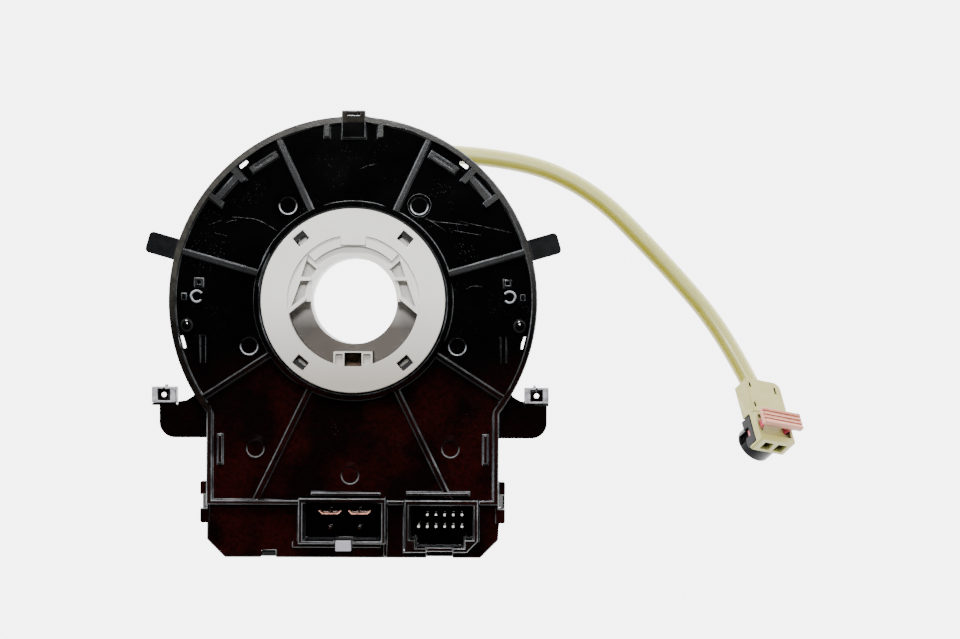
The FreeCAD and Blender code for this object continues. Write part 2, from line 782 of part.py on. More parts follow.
def rotor_case():
    """Disc with the drum that carries the cable."""
    plate = ring(tube_radius + seat_gap, rotor_radius, rotor_face, rotor_top)
    drum = ring(drum_bore, drum_radius, rotor_top, flange_bottom)
    hook_top = flange_bottom - hook_drop + hook_height
    windows = []
    for angle in hook_angles:
        windows.append(radial_block(angle, drum_bore - 1, drum_radius + 1, window_width + 0.6,
                                    flange_bottom - hook_drop - 0.3, hook_top + seat_gap))
    slit = block(-0.5, cable_wall + 0.5, -drum_radius - 1, -drum_bore + 1, rotor_top, flange_bottom)
    solid = joined([plate, drum]).cut(windows + [slit] + wheel_bar_shapes())
    return joined([solid] + clamp_pegs())


def clamp_pegs():
    """Two square pegs under the disc that enter the lead clamp."""
    middle = lead_route[0][0] + 0.75
    places = (middle - peg_spacing / 2, middle + peg_spacing / 2)
    return [square_pin(x, peg_y, rotor_face - peg_length, rotor_face, peg_size) for x in places]


def wheel_pin_x():
    first = -(wheel_pin_count - 1) * pin_pitch / 2
    return [first + i * pin_pitch for i in range(wheel_pin_count)]


def wheel_bar_shapes():
    """Six angled terminals: a strip on the disc and a pin down into the socket."""
    shapes = []
    for x in wheel_pin_x():
        strip = block(x - 0.5, x + 0.5, wheel_socket_y - 0.5, -tube_radius - 4.6, rotor_top - 0.4, rotor_top)
        pin = square_pin(x, wheel_socket_y, wheel_pin_recess, rotor_top - 0.2)
        shapes.append(joined([strip, pin]))
    return shapes


def wheel_socket():
    half = wheel_socket_width / 2
    y0 = wheel_socket_y - wheel_socket_depth / 2
    y1 = wheel_socket_y + wheel_socket_depth / 2
    body = outline([(-half, y0, 1.5), (half, y0, 1.5), (half, y1), (-half, y1)], 0, rotor_face)
    top = rotor_face - wheel_socket_floor
    cavity = block(-half + 1.4, half - 1.4, y0 + 1.4, y1 - 1.4, -1, top)
    keys = [block(x - 0.8, x + 0.8, y1 - 1.6, y1 - 0.7, -1, top) for x in (-half + 7.0, half - 7.0)]
    latch = block(-3.0, 3.0, y0 - 1, y0 + 2, -1, 4.0)
    return body.cut([cavity, latch] + keys + wheel_bar_shapes()).removeSplitter()


def rotor_joint_block():
    """Block inside the drum where the flat cable is welded to the terminals."""
    r_in = tube_radius + 0.6
    top = flange_top - cup_depth - 1.6
    body = sector(r_in, drum_bore - seat_gap, -118, -62, rotor_top, top)
    slot = block(-seat_gap, cable_wall + seat_gap, -drum_bore - 1, -drum_bore + 2.6, rotor_top, top)
    return body.cut(slot)


def hub():
    """Pale bush: flange, cup with its ribs, bore tube and four snap hooks.

    Below the slanting ribs the tube ends at the cup's floor.
    """
    cup_floor = flange_top - cup_depth
    top = flange_top - 1.0
    flange = ring(cup_radius, hub_radius, flange_bottom, flange_top)
    wall = ring(cup_radius, cup_radius + cup_wall, cup_floor, flange_top)
    floor_face = cup_floor + cup_floor_wall
    floor = ring(bore_radius, cup_radius + cup_wall, cup_floor, floor_face)
    tube = ring(bore_radius, tube_radius, 0, flange_top - 2.4)
    crown = sector(tube_radius - 0.2, cup_radius + 0.3, 46, 134, cup_floor, flange_top - 2.9)
    step_radius = tube_radius + 2.0
    step = sector(step_radius, cup_radius + 0.3, 46, 134, cup_floor, flange_top - 0.9)
    tab = block(-3.65, 3.65, step_radius, cup_radius + 0.3, cup_floor, flange_top)
    pieces = [flange, wall, floor, tube, crown, step, tab] + hub_hooks()
    for part in side_ribs(cup_floor, top):
        pieces += both_sides(part)
    pieces.append(key_block(cup_floor))
    solid = joined(pieces)
    cuts = [disc(bore_radius, -1, flange_top + 1)] + hub_windows()
    cuts.append(sector(bore_radius - 1, tube_radius, 181, 359, floor_face, flange_top))
    cuts.append(block(-key_slot / 2, key_slot / 2, -cup_radius + 0.1, -tube_radius - 1.0,
                      cup_floor - 1, flange_top + 1))
    cuts += both_sides(block(2.9, key_width / 2 - 0.5, -cup_radius + 0.7, -tube_radius - 1.4,
                             flange_top - 3.4, flange_top))
    cuts += [radial_block(angle, bore_radius - 1, tube_radius + 1, notch_width, -1, notch_height)
             for angle in (0, 180)]
    return solid.cut(cuts).removeSplitter()


def side_ribs(cup_floor, top):
    """Chord rib, middle rib, slanting rib and the filled crescent of the left side."""
    reach = cup_radius + 0.3
    x1, y1 = polar(134, reach)
    x2, y2 = polar(190, reach)
    chord = bar(x1, y1, x2, y2, hub_rib, cup_floor, top)
    disc_in = disc(reach, cup_floor, flange_top)
    chord = chord.common(disc_in)
    middle = bar(-cup_radius + 2.5, 6.3, -tube_radius + 1.9, 6.3, hub_rib, cup_floor, top)
    x3, y3 = polar(176, tube_radius - 0.3)
    slanting = bar(x2, y2, x3, y3, hub_rib, cup_floor, top).common(disc_in)
    beyond = outline([(x1, y1), (x1 - 12, y1 + 4), (x2 - 12, y2 - 4), (x2, y2)], cup_floor, top - 0.4)
    crescent = disc(reach, cup_floor, flange_top).common(beyond)
    corner = sector(tube_radius - 0.2, reach, 134, 139, cup_floor, top - 1.2)
    x4, y4 = polar(134, tube_radius - 0.3)
    pockets = outline([(x1, y1), (x2, y2), (x3, y3), (x4, y4)], cup_floor, flange_top - pocket_depth)
    return [chord, middle, slanting, crescent, corner, pockets.common(disc_in)]


def key_block(cup_floor):
    half = key_width / 2
    body = block(-half, half, -cup_radius - 0.3, -tube_radius - 0.7, cup_floor, flange_top - 1.6)
    return body.cut(disc(tube_radius - 0.1, cup_floor, flange_top))


def hub_windows():
    windows = []
    for angle in hook_angles:
        windows.append(radial_block(angle, window_radius, window_radius + window_depth, window_width,
                                    flange_bottom - 1, flange_top + 1))
    return windows


def hub_hooks():
    """Four legs under the flange, each with a lip that snaps into the drum."""
    hooks = []
    tip = flange_bottom - hook_drop
    for angle in hook_angles:
        leg = radial_block(angle, window_radius - hook_wall, window_radius, window_width - 0.4,
                           tip, flange_bottom)
        lip = radial_block(angle, window_radius, drum_bore + hook_reach, window_width - 0.4,
                           tip, tip + hook_height)
        hooks += [leg, lip]
    return hooks


def lead_clamp():
    """Saddle under the rotor that holds the lead; two pegs of the disc enter it."""
    top = wheel_face - axial_gap
    start = Vec(*lead_route[0])
    x0 = start.x - 5.5
    x1 = x0 + clamp_width
    y_outer = start.y + lead_diameter / 2 + 2.1
    neck_inner = peg_y - 2.6
    y_inner = min(neck_inner, start.y - 7.8)
    body = outline([(x0, y_inner), (x1, y_inner), (x1, y_outer, 2.0), (x0, y_outer, 2.0)], clamp_low, top)
    neck = block(x0, x1, neck_inner, peg_y + 2.8, top, rotor_face)
    bore = Part.makeCylinder(lead_diameter / 2 + lead_bore_gap, 30, start, lead_start_direction())
    return joined([body, neck]).cut([bore] + clamp_pegs()).removeSplitter()


def lead_start_direction():
    first = Vec(*lead_route[0])
    second = Vec(*lead_route[1])
    return (second - first).normalize()


# Airbag lead: straight runs joined by tangent arcs

def airbag_lead():
    points = [Vec(*p) for p in lead_route]
    edges = []
    cursor = points[0]
    radii = []
    for i in range(1, len(points) - 1):
        back = points[i - 1] - points[i]
        ahead = points[i + 1] - points[i]
        turn = math.pi - back.getAngle(ahead)
        reach = 0.45 * min(back.Length, ahead.Length)
        radius = reach / math.tan(turn / 2)
        radii.append(round(radius, 1))
        back.normalize()
        ahead.normalize()
        start = points[i] + back * reach
        end = points[i] + ahead * reach
        centre_way = (back + ahead).normalize()
        depth = radius / math.cos(turn / 2) - radius
        edges.append(Part.LineSegment(cursor, start).toShape())
        edges.append(Part.Arc(start, points[i] + centre_way * depth, end).toShape())
        cursor = end
    edges.append(Part.LineSegment(cursor, points[-1]).toShape())
    path = Part.Wire(edges)
    section = Part.Wire(Part.Circle(points[0], lead_start_direction(), lead_diameter / 2).toShape())
    tube = path.makePipeShell([section], True, False)
    whole = math.pi * (lead_diameter / 2) ** 2 * path.Length
    print("lead bend radii", radii, "length", round(path.Length, 1))
    print("lead volume", round(tube.Volume, 1), "section times length", round(whole, 1))
    return tube


# Plug, modelled level about its nose axis and then put in its place on the lead

def plug_placement():
    """Turns the plug and seats its rear end on the end of the lead."""
    turn = FreeCAD.Rotation(Vec(0, 0, 1), plug_yaw)
    lift = FreeCAD.Rotation(Vec(0, 1, 0), -plug_pitch)
    roll = FreeCAD.Rotation(Vec(1, 0, 0), -plug_roll)
    heading = turn.multiply(lift).multiply(roll)
    lead_seat = Vec(plug_rear + 1.43, -1.61, 2.44)
    return FreeCAD.Placement(Vec(*lead_route[-1]) - heading.multVec(lead_seat), heading)


def placed(shape):
    copy = shape.copy()
    copy.Placement = plug_placement().multiply(copy.Placement)
    return copy


half_width = plug_width / 2
plug_rear = plug_front - plug_length
lid_height = 1.8
lid_seam = plug_height - lid_height
lid_front = -4.2
lock_rest = plug_height + lock_travel
pocket_half = half_width - 1.0
leg_half = 1.2
leg_inner = half_width - 2.0
hole_size = 3.0


def plug_housing():
    body = outline([
        (plug_rear, -half_width, 0.8),
        (plug_front, -half_width, 0.6),
        (plug_front, half_width, 1.4),
        (plug_rear, half_width, 0.8),
    ], 0, plug_height)
    lid_room = block(plug_rear - 1, lid_front, -half_width - 1, half_width + 1, lid_seam, plug_height + 1)
    inside = block(plug_rear + 1.6, lid_front - 1.2, -half_width + 1.3, half_width - 1.3,
                   1.2, plug_height + 1)
    pocket = block(-3.2, 3.4, -pocket_half, pocket_half, plug_height - 1.1, plug_height + 1)
    holes = []
    tunnels = []
    for y in (-2.4, 2.4):
        half = hole_size / 2
        holes.append(block(plug_front - 2.2, plug_front + 1, y - half, y + half, 1.1, 1.1 + hole_size))
        tunnels.append(block(lid_front - 3, plug_front - 1, y - 0.9, y + 0.9, 1.8, 3.4))
    leg_slots = both_halves(block(-leg_half - 0.3, leg_half + 0.3, leg_inner - 0.3, pocket_half, -1, 5))
    windows = [block(-4.6, 4.6, -half_width - 1, -half_width + 1.0, -1, 3.0)]
    windows.append(block(-4.6, 4.6, half_width - 1.0, half_width + 1, -1, 3.0))
    shaped = body.cut([lid_room, inside, pocket, lead_entry()] + holes + tunnels + leg_slots + windows)
    return shaped.removeSplitter()


def lead_entry():
    """Room for the end of the lead, in the plug's own frame."""
    level = plug_placement().inverse()
    end = Vec(*lead_route[-1])
    inwards = (end - Vec(*lead_route[-2])).normalize()
    start = level.multVec(end - inwards * plug_height)
    room = Part.makeCylinder(lead_diameter / 2 + seat_gap, plug_height, start, level.Rotation.multVec(inwards))
    return room


def both_halves(shape):
    """The shape and its mirror image across the plug's middle."""
    return [shape, shape.mirror(ORIGIN, Vec(0, 1, 0))]


def plug_lid():
    """Flat lid behind the lock, with its small snap windows."""
    body = outline([
        (plug_rear, -half_width, 0.8),
        (lid_front, -half_width),
        (lid_front, half_width),
        (plug_rear, half_width, 2.0),
    ], lid_seam, plug_height)
    windows = [block(x, x + 1.6, -half_width + 0.9, -half_width + 1.5, lid_seam, plug_height + 1)
               for x in (plug_rear + 1.5, plug_rear + 8.4)]
    rear_mark = block(plug_rear + 1.8, plug_rear + 4.0, half_width - 2.6, half_width - 2.0,
                      plug_height - 0.7, plug_height + 1)
    return body.cut(windows + [rear_mark, lead_entry()])


def plug_nose():
    """Round snout that enters the inflator, with the latch body above it."""
    snout = disc(nose_radius, -nose_length, 0)
    lug = block(-4.4, 4.4, -half_width + 0.1, -half_width + 0.9, -1.2, 2.8)
    lug_foot = block(-4.0, 4.0, -half_width + 0.1, -3.2, -1.2, 0)
    solid = joined([snout] + both_halves(lug) + both_halves(lug_foot))
    slots = both_halves(block(-leg_half - 0.3, leg_half + 0.3, leg_inner - 0.3, nose_radius + 1, -4.4, 1))
    pins = [square_pin(0, y, -nose_length - 1, 1, 1.3) for y in (-1.3, 1.3)]
    mouth = block(-2.4, 2.4, -2.9, 2.9, -nose_length - 1, -nose_length + 1.2)
    return solid.cut(slots + pins + [mouth]).removeSplitter()


def plug_lock():
    """Pink position lock: ribbed pad on two legs, drawn in its raised position."""
    under = lock_rest
    top = under + lock_wall
    half = lock_depth / 2
    pad = block(-half, half, -lock_width / 2, lock_width / 2, under, top)
    grooves = []
    rows = 4
    pitch = lock_depth / rows
    for i in range(rows - 1):
        x = -half + (i + 1) * pitch
        grooves.append(block(x - 0.3, x + 0.3, -lock_width / 2 - 1, lock_width / 2 + 1, top - 0.45, top + 1))
    body = block(-2.0, 2.2, 0.4 - pocket_half, pocket_half - 0.4, under - 0.7, under)
    gap = block(-3.0, 3.0, -0.5, 0.5, under - 1, under)
    legs = both_halves(block(-leg_half, leg_half, leg_inner, pocket_half - 0.3, -0.9, under))
    return joined([pad.cut(grooves), body.cut(gap)] + legs)


def plug_contacts():
    """Two crimped terminals inside the housing."""
    pieces = []
    for y in (-2.4, 2.4):
        blade = block(lid_front - 2.8, plug_front - 2.4, y - 0.6, y + 0.6, lid_seam - 1.6, lid_seam - 1.2)
        barrel = block(plug_rear + 4.3, lid_front - 2.8, y - 0.9, y + 0.9, 1.2, lid_seam - 0.8)
        pieces.append(joined([blade, barrel]))
    return Part.makeCompound(pieces)


def main():
    save("rear_cover", rear_cover())
    save("stator_case", stator_case())
    save("flat_cable", flat_cable())
    save("airbag_socket", airbag_socket())
    save("airbag_pins", airbag_pins())
    save("airbag_contacts", airbag_contacts())
    save("airbag_latch", airbag_latch())
    save("switch_socket", switch_socket())
    save("switch_pins", switch_pins())
    save("stator_joint_block", stator_joint_block())
    save("stator_bus_bars", stator_bus_bars())
    save("wing_clip_left", wing_clip(left_clip_tip))
    save("wing_clip_right", mirrored(wing_clip(right_clip_tip)))
    save("rotor_case", rotor_case())
    save("hub", hub())
    save("wheel_socket", wheel_socket())
    save("wheel_terminals", Part.makeCompound(wheel_bar_shapes()))
    save("rotor_joint_block", rotor_joint_block())
    save("lead_clamp", lead_clamp())
    save("airbag_lead", airbag_lead())
    save("plug_housing", placed(plug_housing()))
    save("plug_lid", placed(plug_lid()))
    save("plug_nose", placed(plug_nose()))
    save("plug_lock", placed(plug_lock()))
    save("plug_contacts", placed(plug_contacts()))


main()
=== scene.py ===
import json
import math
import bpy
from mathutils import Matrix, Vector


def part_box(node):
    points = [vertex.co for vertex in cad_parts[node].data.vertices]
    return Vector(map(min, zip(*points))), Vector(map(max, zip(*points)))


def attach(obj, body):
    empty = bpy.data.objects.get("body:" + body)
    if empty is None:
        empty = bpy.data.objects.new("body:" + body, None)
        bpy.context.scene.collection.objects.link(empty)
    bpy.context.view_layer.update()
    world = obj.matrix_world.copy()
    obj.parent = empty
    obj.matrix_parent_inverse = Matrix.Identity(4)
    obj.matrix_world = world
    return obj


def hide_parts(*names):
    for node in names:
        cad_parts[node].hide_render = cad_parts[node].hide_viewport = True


bl_info = {
    "name": "Steering clock spring",
    "version": (1, 0, 0),
    "blender": (4, 5, 0),
    "location": "3D View > Sidebar > Clock spring",
    "description": "Dresses the packed clock spring: edges, small mouldings, lead, finishes and studio",
    "category": "Object",
}

import bmesh
import bpy
from mathutils import Matrix, Vector

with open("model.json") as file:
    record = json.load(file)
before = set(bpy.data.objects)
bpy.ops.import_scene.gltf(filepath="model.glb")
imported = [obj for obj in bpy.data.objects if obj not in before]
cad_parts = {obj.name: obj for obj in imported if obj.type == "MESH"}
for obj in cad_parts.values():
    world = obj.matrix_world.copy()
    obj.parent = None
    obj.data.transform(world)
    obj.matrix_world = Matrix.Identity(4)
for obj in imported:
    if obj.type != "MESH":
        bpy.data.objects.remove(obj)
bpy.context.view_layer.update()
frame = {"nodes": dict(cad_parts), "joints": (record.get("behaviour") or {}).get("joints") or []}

MM = 0.001
UP = Vector((0, 0, 1))

# Levels of the cover, worked down from its highest point, the top tab
TOP_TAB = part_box("rear_cover")[1].z
RIM_TOP = TOP_TAB - 0.6 * MM
DISH = RIM_TOP - 3.3 * MM

# Radius of the cover's round part, without its ears
COVER_RADIUS = 53.0 * MM


def linear(hex_colour):
    """An sRGB hex colour as the linear red, green, blue and alpha that a shader takes."""
    channels = []
    for i in (0, 2, 4):
        value = int(hex_colour.lstrip("#")[i:i + 2], 16) / 255
        channels.append(value / 12.92 if value <= 0.04045 else ((value + 0.055) / 1.055) ** 2.4)
    return (*channels, 1.0)


def colour_property(name, description, hex_colour):
    """A colour that a user may change, from its sRGB hex value."""
    return bpy.props.FloatVectorProperty(
        name=name, description=description, subtype="COLOR", size=4, min=0, max=1,
        default=linear(hex_colour))


def length_property(name, description, millimetres):
    """A length that a user may change, from its default in millimetres."""
    return bpy.props.FloatProperty(
        name=name, description=description, default=millimetres * MM, min=0,
        subtype="DISTANCE", unit="LENGTH")


class CoverSizes(bpy.types.PropertyGroup):
    """Small mouldings on the dished face, and the rounding of moulded edges."""
    edge: length_property("Edge rounding", "Rounding of the cover's moulded edges", 0.3)
    mark_radius: length_property("Mark radius", "Radius of the round marks left by the mould's pins", 2.65)
    mark_height: length_property("Mark height", "Height of the lip round each mark", 0.3)
    post_radius: length_property("Post radius", "Outer radius of the slit posts by the rim", 1.95)
    post_wall: length_property("Post wall", "Wall of the slit posts", 0.7)
    post_height: length_property("Post height", "Height of the slit posts above the dish", 2.6)
    stud_radius: length_property("Stud radius", "Radius of the two domed studs", 2.1)


class LeadSizes(bpy.types.PropertyGroup):
    """Sleeve of the airbag lead."""
    diameter: length_property("Sleeve diameter", "Outside diameter of the lead's sleeve", 5.4)


class Colours(bpy.types.PropertyGroup):
    """Colours of the finishes."""
    cover: colour_property("Cover", "Black of the cover and sockets", "#020202")
    cover_tint: colour_property("Cover tint", "Reddish tint of the cover towards the sockets", "#1E0504")
    raised: colour_property("Raised faces", "Rough grey of the cover's raised faces", "#101113")
    # painted light: the rim's olive grey stands in for light that spills onto its upper left edge
    rim: colour_property("Rim", "Rubbed olive grey of the rim", "#33302A")
    # painted highlight: the light grey that goes on the moulded edges, where they catch the light
    edge_highlight: colour_property("Rubbed edges", "Light grey of edges that handling has rubbed", "#777A7E")
    case: colour_property("Case", "Black of the case and the rotor", "#0C0C0D")
    hub: colour_property("Hub", "Off-white of the hub", "#E6E5E1")
    hub_depth: colour_property("Hub depth", "Brownish shade of the hub down in its bore", "#34291D")
    copper: colour_property("Copper", "Bright copper of the shorting bows", "#FFB8A0")
    tin: colour_property("Tin", "Tin plating of pins and terminals", "#D8D6D0")
    steel: colour_property("Steel", "Spring steel of the wing clips", "#A9A8AD")
    latch: colour_property("Latch", "Grey of the socket's latch block", "#B5B3BB")
    # painted light and shade: the pale yellow goes on the sleeve's lit side and the deeper yellow on its
    # shaded side
    sleeve: colour_property("Sleeve", "Pale yellow of the lead's sleeve", "#BDBA72")
    core: colour_property("Core", "Deeper yellow where the wires show through the sleeve", "#968E1E")
    plug: colour_property("Plug", "Ivory of the plug's housing", "#A9A55E")
    lock: colour_property("Lock", "Pale pink of the lock's plate", "#C7846A")
    lock_legs: colour_property("Lock legs", "Deep pink of the lock's legs", "#E2506A")
    snout: colour_property("Snout", "Dark grey of the plug's snout", "#151517")
    film: colour_property("Film", "Amber film of the flat cable", "#B98A4A")
    joint: colour_property("Joint block", "Brown of the block under the hub's key slot", "#B07A3A")


class StudioSizes(bpy.types.PropertyGroup):
    """Floor, light and camera."""
    floor: length_property("Floor", "Half the floor's side", 1500)
    camera_height: length_property("Camera height", "Height of the lens above the floor", 1237)
    camera_x: length_property("Camera X", "Place of the lens along X", 36.5)
    camera_y: bpy.props.FloatProperty(
        name="Camera Y", description="Place of the lens along Y", default=-5.27 * MM, unit="LENGTH")
    camera_roll: bpy.props.FloatProperty(
        name="Camera roll", description="Turn of the picture about its middle",
        default=math.radians(0.2), subtype="ANGLE")
    focal: bpy.props.FloatProperty(
        name="Focal length", description="Focal length in millimetres", default=156.6, min=20)
    low_key: bpy.props.FloatProperty(
        name="Low key", description="Power in watts of the softbox behind the top tab", default=16)
    high_key: bpy.props.FloatProperty(
        name="High key", description="Power in watts of the steep softbox that lights the sockets",
        default=11)
    horizon: bpy.props.FloatProperty(
        name="Horizon", description="Strength of the light from all round, except from overhead", default=1.2)
    glow: bpy.props.FloatProperty(
        name="Floor glow", description="Strength of the light table that the part lies on", default=6.0)


# Second shades, which the finishes mix into their colours
SHADES = {name: linear(shade) for name, shade in {
    "dust": "#46484D",
    "edge_without_highlight": "#0A0B0C",
    "painted_highlight": "#C4C8CC",
    "unscratched": "#060607",
    "scratched": "#6A6C72",
    "shaded_copper": "#20140E",
    "bare_steel": "#6E6E72",
    "hub_flow": "#DEDCD6",
    "hub_lower": "#9F998E",
    "latch_flow": "#A7A5AD",
    "joint_flow": "#4A331B",
    "plug_flow": "#9E9850",
    "snout_flow": "#232326",
    "lock_streaks": "#C78573",
    "film_flow": "#A5713A",
    "unlit": "#0C0A08",
    "opal_base": "#101010",
    "opal_dim": "#FEFEFE",
    "opal_bright": "#FFFFFF",
}.items()}

# How much rougher the cover's raised faces are than its gloss
RAISED_ROUGHNESS = 0.11

# How far a corner or a slit reaches that gets little light, and how many rays look for it
SHELTER_REACH = 3.0 * MM
SHELTER_RAYS = 8

# The side of the sleeve that is painted deeper yellow as shade, away from the light
SHADED_SLEEVE_SIDE = (-0.6, -0.8, 0.0)


# Node and material helpers

def add_node(tree, kind, settings):
    """Adds one node. A setting is a property, a socket's constant, or another node's output to link to it."""
    node = tree.nodes.new(kind)
    for key, value in settings.items():
        if isinstance(value, bpy.types.NodeSocket):
            tree.links.new(value, node.inputs[key])
        elif isinstance(key, int) or key in node.inputs:
            node.inputs[key].default_value = value
        else:
            setattr(node, key, value)
    return node


def per_mm(size):
    """Texture scale that gives features about this many millimetres across."""
    return 1 / (size * MM)


def new_material(name, **sockets):
    """A material with its shader's constant sockets set, and the outputs of its coordinates."""
    material = bpy.data.materials.new(name)
    material.use_nodes = True
    tree = material.node_tree
    shader = tree.nodes["Principled BSDF"]
    for key, value in sockets.items():
        shader.inputs[key.replace("_", " ")].default_value = value
    points = add_node(tree, "ShaderNodeTexCoord", {}).outputs
    return material, tree, shader, points


def mask(tree, *factors):
    """Factors multiplied together: outputs, or ramps of a source, two limits and the values there."""
    result = None
    for factor in factors:
        if isinstance(factor, tuple):
            source, low, high, start, end = factor if len(factor) == 5 else (*factor, 0.0, 1.0)
            factor = add_node(tree, "ShaderNodeMapRange", {
                "From Min": low, "From Max": high, "To Min": start, "To Max": end,
                "Value": source}).outputs["Result"]
        if result is None:
            result = factor
        else:
            result = add_node(tree, "ShaderNodeMath", {
                "operation": "MULTIPLY", 0: result, 1: factor}).outputs["Value"]
    return result


def spots(tree, place, size, detail, low, high, start=0.0, end=1.0):
    """Soft spots of a size in millimetres: noise between two limits, spread from start to end."""
    grains = add_node(tree, "ShaderNodeTexNoise", {"Scale": per_mm(size), "Detail": detail, "Vector": place})
    return mask(tree, (grains.outputs["Fac"], low, high, start, end))


def layered(tree, tone, *layers):
    """Colours laid over a first one, each as far as its mask goes."""
    for factor, colour in layers:
        tone = add_node(tree, "ShaderNodeMix", {
            "data_type": "RGBA", 0: factor, 6: tone, 7: colour}).outputs[2]
    return tone


def varied_roughness(tree, shader, place, size, low, high):
    """Roughness that drifts over patches of a size in millimetres. It gives back the patches."""
    patches = add_node(tree, "ShaderNodeTexNoise", {"Scale": per_mm(size), "Detail": 3.0, "Vector": place})
    drift = mask(tree, (patches.outputs["Fac"], 0.3, 0.7, low, high))
    tree.links.new(drift, shader.inputs["Roughness"])
    return patches.outputs["Fac"]


def grain_bump(tree, shader, place, size, depth, strength):
    """Fine grain: size and depth in millimetres."""
    grain = add_node(tree, "ShaderNodeTexNoise", {"Scale": per_mm(size), "Detail": 2.0, "Vector": place})
    bump = add_node(tree, "ShaderNodeBump", {
        "Strength": strength, "Distance": depth * MM, "Height": grain.outputs["Fac"]})
    tree.links.new(bump.outputs["Normal"], shader.inputs["Normal"])


def cover_tone(tree, place, at, colours):
    """Gloss black, with reddish clouds towards the sockets and pale dust in the upper sectors."""
    clouds = spots(tree, place, 15, 3.0, 0.4, 0.6, 0.2, 1.0)
    flecks = spots(tree, place, 0.9, 2.0, 0.35, 0.62, 0.4, 1.0)
    towards_sockets = (at["Y"], -12 * MM, -34 * MM)
    open_faces = (at["Z"], DISH - 2.5 * MM, DISH - 0.5 * MM)
    reddish = mask(tree, towards_sockets, open_faces, clouds, flecks)
    grains = add_node(tree, "ShaderNodeTexVoronoi", {"Scale": per_mm(0.8), "Vector": place})
    specks = (grains.outputs["Distance"], 0.2, 0.08)
    where = spots(tree, place, 9, 4.0, 0.52, 0.72)
    upper = (at["Y"], -6 * MM, 12 * MM, 0.25, 1.0)
    dusty = mask(tree, specks, where, upper)
    return layered(tree, colours.cover, (reddish, colours.cover_tint), (dusty, SHADES["dust"]))


def moulded_black_pbt(colours):
    """Glass-filled PBT, injection moulded: mirror-black faces, rougher grey where the tool was eroded, and
    painted light that lays that grey more strongly in the upper half and olive grey on the rim.
    """
    material, tree, shader, points = new_material("black_pbt_moulded", IOR=1.54, Specular_IOR_Level=0.32)
    place = points["Object"]
    at = add_node(tree, "ShaderNodeSeparateXYZ", {"Vector": place}).outputs
    facing = add_node(tree, "ShaderNodeSeparateXYZ", {"Vector": points["Normal"]}).outputs
    level = mask(tree, (facing["Z"], 0.8, 0.9))
    above = (at["Z"], DISH + 0.9 * MM, DISH + 1.2 * MM)
    # painted light: the raised faces' grey, partly their rough grain, is laid more strongly in the upper
    # half, where the light falls
    upper = mask(tree, (at["Y"], -10 * MM, 8 * MM, 0.12, 1.0))
    # the highest faces, the top tab's and the collar's, kept their gloss
    dull = (at["Z"], RIM_TOP + 0.35 * MM, RIM_TOP + 0.2 * MM, 0.05, 1.0)
    raised = mask(tree, level, above, upper, dull)
    patchy_sheen = spots(tree, place, 2.2, 4.0, 0.35, 0.7, 0.35, 1.15)
    # painted light: the rim's top is drawn olive grey, most at the upper left, for the light that spills onto
    # that edge
    flat = add_node(tree, "ShaderNodeCombineXYZ", {"X": at["X"], "Y": at["Y"]}).outputs["Vector"]
    reach = add_node(tree, "ShaderNodeVectorMath", {"operation": "LENGTH", 0: flat}).outputs["Value"]
    near_edge = (reach, COVER_RADIUS - 1.9 * MM, COVER_RADIUS - 1.5 * MM)
    rim_height = (at["Z"], RIM_TOP - 0.6 * MM, RIM_TOP - 0.3 * MM)
    leftwards = (at["X"], 50 * MM, -30 * MM, 0.3, 1.0)
    rim = mask(tree, near_edge, rim_height, level, upper, leftwards, patchy_sheen)
    tone = layered(tree, cover_tone(tree, place, at, colours),
                   (mask(tree, raised, patchy_sheen), colours.raised), (rim, colours.rim))
    tree.links.new(tone, shader.inputs["Base Color"])
    gloss = spots(tree, place, 12, 3.0, 0.3, 0.7, 0.045, 0.075)
    ears = (reach, COVER_RADIUS + 0.2 * MM, COVER_RADIUS + 0.5 * MM, 1.0, 0.6)
    rough = add_node(tree, "ShaderNodeMath", {
        "operation": "MULTIPLY_ADD", 0: mask(tree, raised, ears), 1: RAISED_ROUGHNESS, 2: gloss})
    tree.links.new(rough.outputs["Value"], shader.inputs["Roughness"])
    grain_bump(tree, shader, place, 0.6, 0.012, mask(tree, (raised, 0.0, 1.0, 0.08, 0.8)))
    return material


def edge_highlight_pbt(colours):
    """The same PBT on its moulded edges, painted pale grey in stretches: a painted highlight where the edges
    catch the light.
    """
    material, tree, shader, points = new_material("black_pbt_edge_highlight", IOR=1.54)
    place = points["Object"]
    at = add_node(tree, "ShaderNodeSeparateXYZ", {"Vector": place}).outputs
    facing = add_node(tree, "ShaderNodeSeparateXYZ", {"Vector": points["Normal"]}).outputs
    stretches = spots(tree, place, 6, 3.0, 0.36, 0.62, 0.12, 1.0)
    flecks = spots(tree, place, 0.8, 2.0, 0.3, 0.65, 0.45, 1.0)
    high = (at["Z"], DISH - 2 * MM, DISH + 0.6 * MM, 0.2, 1.0)
    # painted highlight: brightest on edges facing away from the sockets, towards the light, and dimmest on
    # the ribs below the hub
    side = (facing["Y"], -0.6, 0.1, 0.15, 1.0)
    below_hub = mask(tree, (at["Y"], -6 * MM, -18 * MM), (at["Y"], -46 * MM, -42 * MM))
    dimmer_below_hub = (below_hub, 0.0, 1.0, 1.0, 0.45)
    patchy_sheen = mask(tree, stretches, flecks, high, side, dimmer_below_hub)
    tree.links.new(layered(tree, SHADES["edge_without_highlight"], (patchy_sheen, colours.edge_highlight)), shader.inputs["Base Color"])
    varied_roughness(tree, shader, place, 3, 0.24, 0.42)
    return material


